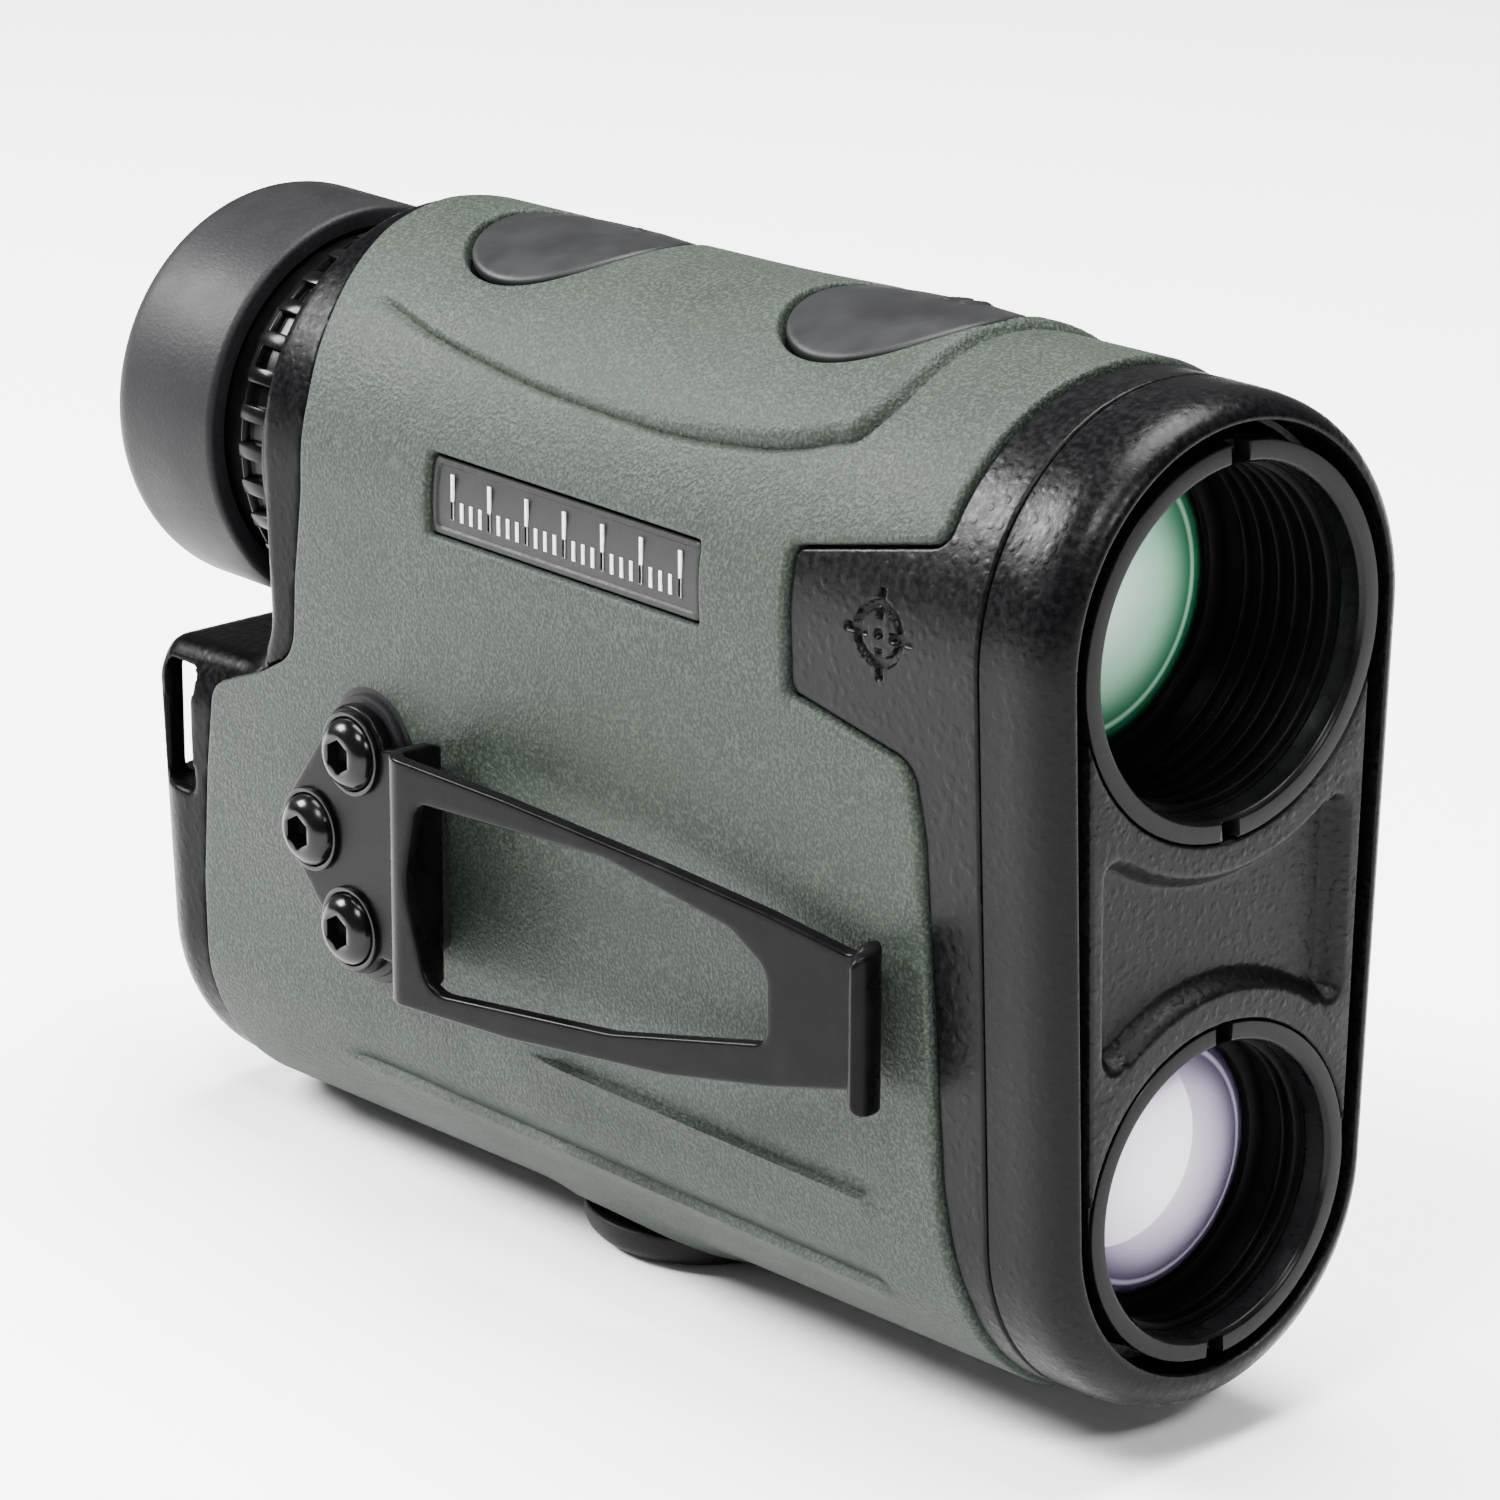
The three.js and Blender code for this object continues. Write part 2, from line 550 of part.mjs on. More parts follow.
add('objective_retaining_ring', retainingRing(objective), finishes.black);
add('objective_barrel', ribbedTube(objective, objective.tubeRear), finishes.innerBlack);
add('objective_lens_front', lens(objective.lensRadius, objective.lensX, 5, 1.3, 1, 0), finishes.glassGreen);
add('objective_lens_rear', lens(objective.lensRadius, objective.lensX - 5.6, 3.4, -0.6, 0.3, 0), finishes.glass);
add('receiver_retaining_ring', retainingRing(receiver), finishes.black);
const funnelX = receiver.tubeRear - receiver.funnel;
add('receiver_barrel', ribbedTube(receiver, receiver.tubeRear, [
  [receiver.funnelBore, funnelX + 1], [receiver.funnelBore, funnelX], [receiver.funnelOuter, funnelX],
]), finishes.innerBlack);
add('receiver_lens', lens(receiver.lensRadius, receiver.lensX, 6.5, 2.4, 1.2, -receiver.drop),
  finishes.glassViolet);

const canRear = funnelX - gap - detector.canHigh;
const detectorCan = disc(detector.canRadius, canRear, canRear + detector.canHigh, -receiver.drop, 24);
add('detector_board', box(
  canRear - detector.boardThick + 0.2, canRear + 0.2, -detector.boardHalf, detector.boardHalf,
  -receiver.drop - detector.boardHalf, -receiver.drop + detector.boardHalf,
).add(detectorCan), finishes.board);

// ---- prism train, display and laser
const frameHalf = prism.half + prism.wall;
let prismFrame = box(prism.frontX - 26, prism.frontX + 2, -frameHalf, frameHalf, prism.lowZ, prism.highZ);
prismFrame = prismFrame.subtract(box(prism.frontX - 24.5, prism.frontX + 0.5, -prism.half, prism.half,
  prism.lowZ + prism.wall, far));
prismFrame = prismFrame.subtract(disc(6.5, -far * 2, 0, 0, 32)).subtract(disc(6, -far * 2, -50, eyeZ, 32));
prismFrame = prismFrame.subtract(turnedUp(
  [[0, -30], [laser.radius + skin, -30], [laser.radius + skin, 0], [0, 0]], laser.x, 24));
add('prism_holder', prismFrame, finishes.innerBlack);
const prismWidth = prism.half - prism.clearance;
const roofView = polygon([
  [prism.frontX, 7.6], [prism.frontX, -10.5], [prism.frontX - 12, -0.5], [prism.frontX - 10, 7.6],
]);
add('roof_prism', alongY(roofView, -prismWidth, prismWidth), finishes.glass);
const pentaView = polygon([
  [prism.frontX - 0.6, -12], [prism.frontX - 12.8, -1.9], [prism.frontX - 11, 7.6],
  [prism.frontX - 22, 7.6], [prism.frontX - 23.8, 2], [prism.frontX - 23.8, -12],
]);
add('half_penta_prism', alongY(pentaView, -prismWidth, prismWidth), finishes.glass);
const laserWide = laser.radius + laser.collar;
add('laser_module', turnedUp([
  [0, laser.topZ - laser.length], [laserWide, laser.topZ - laser.length], [laserWide, laser.topZ],
  [0, laser.topZ],
], laser.x, 28), finishes.metal);
add('reticle_display', box(prism.frontX - 29.4, prism.frontX - 28, -7, 7, -10, 4.5), finishes.glass);

// ---- eyepiece
const barrelInner = eyepiece.barrelRadius - eyepiece.barrelWall;
const { flangeRadius } = eyepiece;
const flangeRear = armour.shoulderX + 4;
const barrelFront = flangeRear + eyepiece.flangeDeep;
add('eyepiece_barrel', turned([
  [barrelInner, eyepiece.barrelRear], [eyepiece.barrelRadius, eyepiece.barrelRear],
  [eyepiece.barrelRadius, flangeRear], [flangeRadius, flangeRear], [flangeRadius, barrelFront],
  [barrelInner, barrelFront],
], eyeZ), finishes.innerBlack);
const cellRadius = barrelInner - gap;
const cellBore = cellRadius - eyepiece.cellWall;
const cellMouth = cellBore - eyepiece.cellLip;
const ocular = { front: flangeRear, rear: eyepiece.barrelRear + 2.5 };
add('ocular_cell', turned([
  [cellMouth, ocular.rear], [cellRadius, ocular.rear], [cellRadius, ocular.front],
  [cellBore, ocular.front], [cellBore, ocular.rear + 1], [cellMouth, ocular.rear + 1],
], eyeZ), finishes.innerBlack);
add('ocular_eye_lens', lens(cellBore - gap, ocular.rear + 7, 5.6, 1.2, 0.2, eyeZ), finishes.glass);
add('ocular_field_lens', lens(cellBore - gap, ocular.front - 1, 4.6, 0.4, 1, eyeZ), finishes.glass);

// Diopter ring with a row of square ridges, cut as notches between them.
const ringInner = eyepiece.barrelRadius + gap;
let diopter = tube(eyepiece.ringRadius, ringInner, eyepiece.ringRear, eyepiece.ringFront, eyeZ, 64);
const ringNotch = new THREE.Shape();
const notchInner = eyepiece.ringRadius - eyepiece.ridgeDepth;
const ridgeTurn = (2 * Math.PI) / eyepiece.ridges;
const notchTurn = ridgeTurn - eyepiece.ridgeWidth / eyepiece.ringRadius;
ringNotch.absarc(0, 0, eyepiece.ringRadius + 2, 0, notchTurn, false);
ringNotch.lineTo(notchInner * Math.cos(notchTurn), notchInner * Math.sin(notchTurn));
ringNotch.lineTo(notchInner, 0);
const notchSolid = extruded(ringNotch, eyepiece.ringFront - eyepiece.ringRear - 1, 2)
  .applyMatrix4(shapeFacesX).translate(eyepiece.ringRear - 0.3, 0, 0);
for (let i = 0; i < eyepiece.ridges; i += 1) {
  diopter = diopter.subtract(solid(notchSolid.clone().rotateX(i * ridgeTurn).translate(0, 0, eyeZ)));
}
add('diopter_ring', diopter, finishes.black);

const camRadius = ringInner + eyepiece.sleeveWall;
add('eyecup_cam_sleeve', tube(camRadius, ringInner, eyepiece.barrelRear, eyepiece.ringRear - gap, eyeZ),
  finishes.innerBlack);
const cupInner = camRadius + gap;
const cupArc = [];
for (let i = 0; i <= 3; i += 1) {
  const turn = (i / 3) * (Math.PI / 2);
  const r = eyecup.radius - eyecup.corner * (1 - Math.cos(turn));
  cupArc.push([r, eyecup.rear + eyecup.corner * (1 - Math.sin(turn))]);
}
add('eyecup', turned([
  [cupInner, eyecup.front], [eyecup.radius, eyecup.front], ...cupArc,
  [eyecup.mouth, eyecup.rear], [eyecup.mouth - eyecup.mouthLip / 2, eyecup.rear + eyecup.mouthLip],
  [eyecup.mouth, eyepiece.barrelRear - 2], [cupInner, eyepiece.barrelRear - gap],
], eyeZ, 32), finishes.rubber);

// ---- buttons, switches and boards
const switchTop = board.top + board.switchHigh;
function pressButton(name, switchName, x) {
  const face = bodyPrism(-pod.proud - button.crown).intersect(alongZ(buttonOutline(x, 0), 0, far, 12));
  const skirt = face.subtract(bodyPrism(armour.seatInset - gap - skin - button.travel));
  const stemTop = bodyTopAt(x) - 2 * gap;
  const stemLow = switchTop + gap + button.travel;
  const stem = turnedUp([[0, stemLow], [button.stem, stemLow], [button.stem, stemTop], [0, stemTop]], x, 20);
  add(name, skirt.add(stem), finishes.rubber);
  const half = button.stem - 2 * skin;
  add(switchName, turnedUp([[0, board.top], [half, board.top], [half, switchTop], [0, switchTop]], x, 20),
    finishes.metal);
}
pressButton('measure_button', 'measure_switch', measureX);
pressButton('menu_button', 'menu_switch', menuX);
add('button_board', box(measureX - board.ends, menuX + 4.1, -board.half, board.half,
  board.top - board.thick, board.top), finishes.board);
add('main_board', box(-70, -32, 8.6, 8.6 + board.thick, -46, -18), finishes.board);

// ---- battery compartment in the lower block
const cellZ = -battery.drop;
const cellFront = battery.rear + battery.length;
const sleeveBore = battery.radius + battery.clearance;
const sleeveOuter = sleeveBore + battery.sleeveWall;
const sleeveRear = capFront + gap + 2 * skin;
const sleeveFront = cellFront + 2.6;
add('battery_sleeve', turned([
  [sleeveBore, sleeveRear], [sleeveOuter, sleeveRear], [sleeveOuter, sleeveFront + 1], [3, sleeveFront + 1],
  [3, sleeveFront], [sleeveBore, sleeveFront],
], cellZ, 28), finishes.innerBlack);
add('battery_cell', turned([
  [0, battery.rear], [battery.radius, battery.rear], [battery.radius, cellFront - battery.nipple],
  [battery.nippleRadius, cellFront - battery.nipple], [battery.nippleRadius, cellFront], [0, cellFront],
], cellZ, 28), finishes.cell);
add('battery_positive_contact', turned([
  [0, cellFront + gap], [2.6, cellFront + gap], [2.6, sleeveFront + 2], [0, sleeveFront + 2],
], cellZ, 24), finishes.metal);

// ---- screw cap over the battery, flush with the rear face
const capFloor = capFront - 0.9;
let capPiece = turned([
  [0, capRear], [cap.radius - cap.edge, capRear], [cap.radius, capRear + cap.edge],
  [cap.radius, capFront], [sleeveBore - gap, capFront], [sleeveBore - gap, capFloor], [0, capFloor],
], cellZ);
const slotHalf = cap.radius * cap.slotLong;
capPiece = capPiece.subtract(box(-far * 2, capRear + cap.slotDeep, -slotHalf, slotHalf,
  cellZ - cap.slotWide / 2, cellZ + cap.slotWide / 2));
const sealFront = cap.sealRear + cap.sealWide;
const sealFloor = cap.radius - cap.sealDeep;
capPiece = capPiece.subtract(tube(far, sealFloor, cap.sealRear, sealFront, cellZ));
add('battery_cap', capPiece, finishes.black);
add('battery_cap_seal', tube(cap.radius + gap / 3, sealFloor + gap, cap.sealRear + gap / 2,
  sealFront - gap / 2, cellZ), finishes.rubber);
add('battery_cap_contact', disc(cap.contactRadius, capFloor + gap, battery.rear - gap, cellZ, 24),
  finishes.metal);

// ---- tripod boss under the body, with a threaded brass insert
const footZ = -boss.foot;
const bossTop = bodyTopAt(boss.x) - body.topRadius - body.bottomDrop - body.bottomRadius + 1.2;
add('tripod_boss', turnedUp([
  [boss.insert + gap, footZ], [boss.radius, footZ], [boss.radius - gap, bossTop], [boss.insert + gap, bossTop],
], boss.x, 32), finishes.rubber);
const threadTop = footZ + boss.threadDeep;
add('tripod_socket', turnedUp([
  [boss.thread, footZ + 0.4], [boss.insert, footZ + 0.4], [boss.insert, threadTop + 1], [0, threadTop + 1],
  [0, threadTop], [boss.thread, threadTop],
], boss.x, 28), finishes.brass);

// ---- belt clip on the right side, held by three button-head screws
const lean = (body.bottomRadius - body.topRadius) / body.bottomDrop;
const sideY = -(body.topRadius - lean * clip.midZ);
const padOut = sideY - clip.padThick;
const baseOut = padOut - gap - clip.thick;
const padColumn = alongY(clipPadView, padOut, -5, 6).subtract(bodyPrism(armour.seatInset - gap - skin));
add('clip_mount_pad', cutScrewHoles(padColumn), finishes.rubber);

const baseView = screwLobes(clip.baseRadius, clip.bendX, 0);
const basePlate = alongY(baseView, baseOut, baseOut + clip.thick, 6);
const armRearY = padOut - gap - clip.armY;
const wallPiece = box(clip.bendX - clip.thick, clip.bendX, armRearY, baseOut + 0.1,
  clip.midZ - clip.wallRise, clip.midZ + clip.wallRise);
add('clip_base', cutScrewHoles(basePlate.add(wallPiece)), finishes.steel);

// Tapered arm with a long window, leaning in towards the tip and rolled out at its end.
const armTipY = sideY - clip.tipY;
const armLean = Math.atan2(armTipY - armRearY, clip.tipX - clip.bendX);
const armTop = clip.midZ + clip.rearHalf;
const armLow = clip.midZ - clip.rearHalf;
const tipZ = clip.midZ + clip.tipTilt;
const armView = polygon([
  [clip.bendX + gap, armTop], [clip.bendX + 12, armTop - 0.5], [clip.bendX + 28, armTop - 1.8],
  [clip.tipX, tipZ + clip.tipHalf], [clip.tipX, tipZ - clip.tipHalf], [clip.bendX + 28, armLow + 1.8],
  [clip.bendX + 12, armLow + 0.3], [clip.bendX + gap, armLow],
]);
const { windowRearX: windowRear, windowFrontX: windowFront } = clip;
const windowTop = clip.midZ + clip.windowRearHalf;
const windowLow = clip.midZ - clip.windowRearHalf;
const windowView = new THREE.Shape();
windowView.moveTo(windowRear + 3, windowTop);
windowView.lineTo(windowRear + 21, windowTop);
windowView.lineTo(windowFront - 3, windowTop - 2.6);
windowView.quadraticCurveTo(windowFront, windowTop - 3.5, windowFront, windowTop - 6);
windowView.lineTo(windowFront, windowLow + 5.4);
windowView.lineTo(windowRear + 21, windowLow + 1.6);
windowView.lineTo(windowRear + 4, windowLow);
windowView.quadraticCurveTo(windowRear, windowLow, windowRear, windowLow + 4);
windowView.lineTo(windowRear, windowTop - 3);
windowView.quadraticCurveTo(windowRear, windowTop, windowRear + 3, windowTop);
let arm = alongY(armView, 0, clip.thick, 6).subtract(alongY(windowView, -far, far, 6));
const lipX = clip.tipX + 0.4;
const lipView = new THREE.Shape();
lipView.moveTo(clip.tipX - 0.5, clip.thick);
lipView.lineTo(clip.tipX - 0.5, 0);
lipView.lineTo(lipX, 0);
lipView.absarc(lipX, -clip.tipRoll, clip.tipRoll, Math.PI / 2, -0.4 * Math.PI, true);
lipView.absarc(lipX, -clip.tipRoll, clip.tipRoll + clip.thick, -0.4 * Math.PI, Math.PI / 2, false);
arm = arm.add(alongZ(lipView, tipZ - clip.lipHalf, tipZ + clip.lipHalf, 6));
const armPlace = new THREE.Matrix4().makeTranslation(clip.bendX, armRearY, 0)
  .multiply(new THREE.Matrix4().makeRotationZ(armLean))
  .multiply(new THREE.Matrix4().makeTranslation(-clip.bendX, 0, 0));
add('clip_arm', arm, finishes.steel).applyMatrix4(armPlace);

clipScrews.forEach(([x, z], i) => {
  const bar = (radius, right, left, segments) => alongY(
    new THREE.Shape().absarc(x, z, radius, 0, 2 * Math.PI, false), right, left, segments);
  const headTop = baseOut - gap;
  let screw = bar(clip.screwHead, headTop - clip.screwHeadHigh * 0.6, headTop, 14);
  screw = screw.add(bar(clip.screwHead * 0.72, headTop - clip.screwHeadHigh, headTop, 14));
  screw = screw.add(bar(clip.screwShank, headTop - 0.1, baseOut + clip.shankLong, 8));
  screw = screw.subtract(bar(clip.hex, -far, headTop - 0.5, 3));
  add(`clip_screw_${i + 1}`, screw, finishes.steel);
});

// ---- side badges: a plate with a row of graduation bars instead of a name
const badgeBand = flankBand(badge.sunk, body.armourThick + 0.05 - badge.sunk);
for (const side of [-1, 1]) {
  add(side < 0 ? 'side_badge_right' : 'side_badge_left', badgeBand.intersect(badgePocket(side, 0)),
    finishes.badge);
}

// ---- object frame: the origin is the bottom centre of the bounding box
model.position.set(-(front.rimX + eyecup.rear) / 2, -(body.topRadius + armRearY) / 2, boss.foot);
model.updateMatrixWorld(true);

export default model;
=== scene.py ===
"""Laser rangefinder: the visual model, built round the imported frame.

Sizes are in millimetres in the optical frame: X forward along the line of sight, Y to the user's
left, Z up, with the origin where the viewing axis crosses the front plate. row() turns them into
the frame's metres. A place round the body is (x, girth): girth is the length along the section
from the middle of the top, positive down the right side (-Y), which carries the clip.
"""
import math

import bmesh
import bpy
import numpy as np
import openvdb
from mathutils import Matrix, Vector
from mathutils.geometry import delaunay_2d_cdt


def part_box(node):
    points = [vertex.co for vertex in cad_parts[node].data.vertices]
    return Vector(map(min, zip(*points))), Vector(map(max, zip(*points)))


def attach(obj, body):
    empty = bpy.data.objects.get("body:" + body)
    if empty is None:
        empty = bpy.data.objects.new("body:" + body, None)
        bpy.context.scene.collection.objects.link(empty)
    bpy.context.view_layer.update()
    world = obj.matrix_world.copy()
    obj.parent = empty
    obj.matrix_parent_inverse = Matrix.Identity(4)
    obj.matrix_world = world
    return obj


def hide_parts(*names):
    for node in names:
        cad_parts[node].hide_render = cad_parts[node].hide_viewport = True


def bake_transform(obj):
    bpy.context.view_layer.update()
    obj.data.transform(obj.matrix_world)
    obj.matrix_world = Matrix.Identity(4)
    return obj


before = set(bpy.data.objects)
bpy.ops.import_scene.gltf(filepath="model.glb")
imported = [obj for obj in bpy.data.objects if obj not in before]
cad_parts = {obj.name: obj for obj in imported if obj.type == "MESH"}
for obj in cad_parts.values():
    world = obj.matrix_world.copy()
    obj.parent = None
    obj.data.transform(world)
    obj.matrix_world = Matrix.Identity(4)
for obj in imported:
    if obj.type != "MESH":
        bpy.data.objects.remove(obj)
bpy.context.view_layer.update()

MM = 0.001
ring_low, ring_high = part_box("objective_retaining_ring")
OPTICAL_ORIGIN = np.array([ring_high.x, (ring_low.y + ring_high.y) / 2, (ring_low.z + ring_high.z) / 2])


def row(points):
    """Optical-frame millimetres as row-frame metres."""
    return OPTICAL_ORIGIN + np.asarray(points, float) * MM


# ---------------------------------------------------------------- driving dimensions
TOP_RADIUS = 18.0
LOW_RADIUS = 16.2
DROP = 42.2
DROOP = math.tan(math.radians(1.3))
ARMOUR_THICK = 1.6
HOUSING_INSET = 0.5
ARMOUR_GAP = 0.24
SEAM_X = -7.4

LEAN = math.asin((LOW_RADIUS - TOP_RADIUS) / DROP)
TOP_ARC = TOP_RADIUS * (math.pi / 2 - LEAN)
FLANK = DROP * math.cos(LEAN)
HALF = TOP_ARC + FLANK + LOW_RADIUS * (math.pi / 2 + LEAN)

OBJECTIVE = dict(z=0.0, ring=14.3, bore=12.6, depth=2.2, ribs=6, pitch=1.62, lens_x=-13.4, lens=12.3,
                 sag=1.3, notch=1.4, tube_rear=-27.8, collar_x=-7.2, wall=0.7)
RECEIVER = dict(z=-40.7, ring=12.6, bore=11.0, depth=2.2, ribs=2, pitch=1.2, lens_x=-5.3, lens=10.7,
                sag=2.4, notch=1.4, tube_rear=-19.8, collar_x=-7.2, wall=0.9)
EYE_Z = -3.1
CAP_Z = -41.7
MEASURE_X = -69.6
MENU_X = -33.6
BUTTON_RADIUS = 8.9
RIM_TOP = 15.25
RIM_LOW = 13.65
RING_GAP = 0.12
LIP_RADIUS = 16.5
CUP_RADIUS = 16.4
CUP_CORNER = 3.0
CUP_REAR = -109.95
CAP_RADIUS = 9.9
RIDGES = 32
CLIP_SCREWS = [(-74.5, -22.6), (-79.8, -30.1), (-75.0, -37.0)]
CLIP_MID_Z = -29.1
BOSS_X = -55.5
BOSS_FOOT = -61.2


# ---------------------------------------------------------------- the body's section
def section(girth):
    """(y, z, normal y, normal z) on the armour's section at a girth, before the droop."""
    girth = (np.asarray(girth, float) + HALF) % (2 * HALF) - HALF
    side = -np.sign(girth)
    far = np.abs(girth)
    top_turn = np.minimum(far, TOP_ARC) / TOP_RADIUS
    along = np.clip(far - TOP_ARC, 0, FLANK)
    low_turn = np.maximum(far - TOP_ARC - FLANK, 0) / LOW_RADIUS
    turn = top_turn + low_turn
    ny, nz = np.sin(turn), np.cos(turn)
    radius = np.where(far > TOP_ARC + FLANK, LOW_RADIUS, TOP_RADIUS)
    centre = np.where(far > TOP_ARC + FLANK, -DROP, 0.0)
    flank_y = TOP_RADIUS * math.cos(LEAN) + along * math.sin(LEAN)
    flank_z = TOP_RADIUS * math.sin(LEAN) - along * math.cos(LEAN)
    on_flank = (far > TOP_ARC) & (far <= TOP_ARC + FLANK)
    y = np.where(on_flank, flank_y, radius * ny)
    z = np.where(on_flank, flank_z, centre + radius * nz)
    return side * y, z, side * ny, nz


def on_body(places, rise):
    """3-D points at (x, girth) places, raised along the section's normal."""
    x, girth = places[:, 0], places[:, 1]
    y, z, ny, nz = section(girth)
    return np.stack([x, y + rise * ny, z + rise * nz + x * DROOP], 1)


def girth_at(z, x=-50.0):
    """Girth on the right side where the armour is at height z."""
    z = z - x * DROOP
    if z > TOP_RADIUS * math.sin(LEAN):
        return TOP_RADIUS * math.acos(min(z / TOP_RADIUS, 1))
    low_start = TOP_RADIUS * math.sin(LEAN) - FLANK * math.cos(LEAN)
    if z > low_start:
        return TOP_ARC + (TOP_RADIUS * math.sin(LEAN) - z) / math.cos(LEAN)
    return TOP_ARC + FLANK + LOW_RADIUS * (math.acos(max((z + DROP) / LOW_RADIUS, -1)) - math.pi / 2 - LEAN)


def body_distance(x, y, z):
    """Distance from the armour's outer surface, negative inside, for arrays of points."""
    z = z - x * DROOP
    y = np.abs(y)
    along = y * math.sin(LEAN) - z * math.cos(LEAN)
    flank = y * math.cos(LEAN) + z * math.sin(LEAN) - TOP_RADIUS
    top = np.hypot(y, z) - TOP_RADIUS
    low = np.hypot(y, z + DROP) - LOW_RADIUS
    return np.where(along < 0, top, np.where(along > FLANK, low, flank))


# ---------------------------------------------------------------- outlines
def resample(points, step, closed=False):
    """Points a step apart along a line, keeping its corners."""
    points = np.asarray(points, float)
    if closed:
        points = np.vstack([points, points[:1]])
    out = []
    for a, b in zip(points[:-1], points[1:]):
        count = max(1, int(round(np.linalg.norm(b - a) / step)))
        out.extend(a + (b - a) * k / count for k in range(count))
    if not closed:
        out.append(points[-1])
    return np.array(out)


def rounded(corners, step=0.4, closed=True):
    """An outline from (u, v, radius) corners, each rounded by its radius."""
    count = len(corners)
    out = []
    for i, (u, v, radius) in enumerate(corners):
        here = np.array([u, v])
        if radius == 0 or (not closed and i in (0, count - 1)):
            out.append(here)
            continue
        before = np.array(corners[i - 1][:2])
        after = np.array(corners[(i + 1) % count][:2])
        back = (before - here) / np.linalg.norm(before - here)
        on = (after - here) / np.linalg.norm(after - here)
        half = math.acos(np.clip(back @ on, -1, 1)) / 2
        reach = radius / math.tan(half)
        centre = here + (back + on) / np.linalg.norm(back + on) * radius / math.sin(half)
        start, end = here + back * reach - centre, here + on * reach - centre
        sweep = math.pi - 2 * half
        turns = max(2, int(math.ceil(sweep * radius / step)))
        for k in range(turns + 1):
            share = math.sin(sweep * k / turns) / math.sin(sweep) if sweep > 1e-6 else k / turns
            rest = math.sin(sweep * (1 - k / turns)) / math.sin(sweep) if sweep > 1e-6 else 1 - k / turns
            out.append(centre + start * rest + end * share)
    return resample(np.array(out), step, closed)


def smooth_line(points, step=0.4):
    """A smooth open line through the points."""
    points = np.asarray(points, float)
    padded = np.vstack([2 * points[0] - points[1], points, 2 * points[-1] - points[-2]])
    out = []
    for i in range(1, len(padded) - 2):
        p0, p1, p2, p3 = padded[i - 1:i + 3]
        count = max(2, int(np.linalg.norm(p2 - p1) / step))
        for k in range(count):
            t = k / count
            out.append(0.5 * (2 * p1 + (p2 - p0) * t + (2 * p0 - 5 * p1 + 4 * p2 - p3) * t ** 2
                              + (3 * p1 - p0 - 3 * p2 + p3) * t ** 3))
    out.append(points[-1])
    return np.array(out)


def circle(u, v, radius, count=64):
    turn = np.arange(count) / count * 2 * math.pi
    return np.stack([u + radius * np.cos(turn), v + radius * np.sin(turn)], 1)


def line_distance(places, lines, limit=3.0):
    """Distance from each place to the nearest of the lines, up to about the limit."""
    starts = np.vstack([line[:-1] for line in lines])
    spans = np.vstack([line[1:] - line[:-1] for line in lines])
    lengths = np.maximum((spans ** 2).sum(1), 1e-12)
    out = np.full(len(places), limit)
    cell = (np.floor(places / limit)).astype(int)
    low = np.floor((np.minimum(starts, starts + spans) - limit) / limit).astype(int)
    high = np.floor((np.maximum(starts, starts + spans) + limit) / limit).astype(int)
    order = np.lexsort((cell[:, 1], cell[:, 0]))
    breaks = np.nonzero(np.any(np.diff(cell[order], axis=0), axis=1))[0] + 1
    for group in np.split(order, breaks):
        u, v = cell[group[0]]
        near = (low[:, 0] <= u) & (high[:, 0] >= u) & (low[:, 1] <= v) & (high[:, 1] >= v)
        if not near.any():
            continue
        part = places[group][:, None, :] - starts[near][None]
        share = np.clip((part * spans[near][None]).sum(2) / lengths[near], 0, 1)
        gap = part - share[..., None] * spans[near][None]
        out[group] = np.minimum(np.sqrt((gap ** 2).sum(2).min(1)), limit)
    return out


def inside_loops(places, loops):
    """Which places lie inside an outline with holes, given as closed loops."""
    order = np.argsort(places[:, 1])
    u, v = places[order, 0], places[order, 1]
    odd = np.zeros(len(places), bool)
    for loop in loops:
        following = np.roll(loop, -1, axis=0)
        first = np.searchsorted(v, np.minimum(loop[:, 1], following[:, 1]), "left")
        last = np.searchsorted(v, np.maximum(loop[:, 1], following[:, 1]), "left")
        for (u0, v0), (u1, v1), i, j in zip(loop, following, first, last):
            if j > i:
                odd[i:j] ^= u[i:j] < u0 + (u1 - u0) * (v[i:j] - v0) / (v1 - v0)
    out = np.empty(len(places), bool)
    out[order] = odd
    return out


def triangles(places, links, loops):
    """Flat triangles over the places that keep the links and lie inside the loops."""
    found, _, faces, origin, _, _ = delaunay_2d_cdt([Vector(p) for p in places], links, [], 0, 1e-6, True)
    flat = np.array([list(p) for p in found])
    corners = np.array(faces)
    kept = inside_loops(flat[corners].mean(1), loops)
    return flat, corners[kept].tolist(), origin


def closed_line(loop):
    return np.vstack([loop, loop[:1]])


def step_up(value, low, high):
    t = np.clip((value - low) / (high - low), 0, 1)
    return t * t * (3 - 2 * t)


# ---------------------------------------------------------------- meshes
def piece(name, points, faces, material, body="body", replaces=(), sharp=40.0):
    """A finished piece from optical-frame points, riding on its body."""
    mesh = bpy.data.meshes.new(name)
    mesh.from_pydata(row(points).tolist(), [], [list(f) for f in faces])
    return settle(name, mesh, material, body, replaces, sharp)


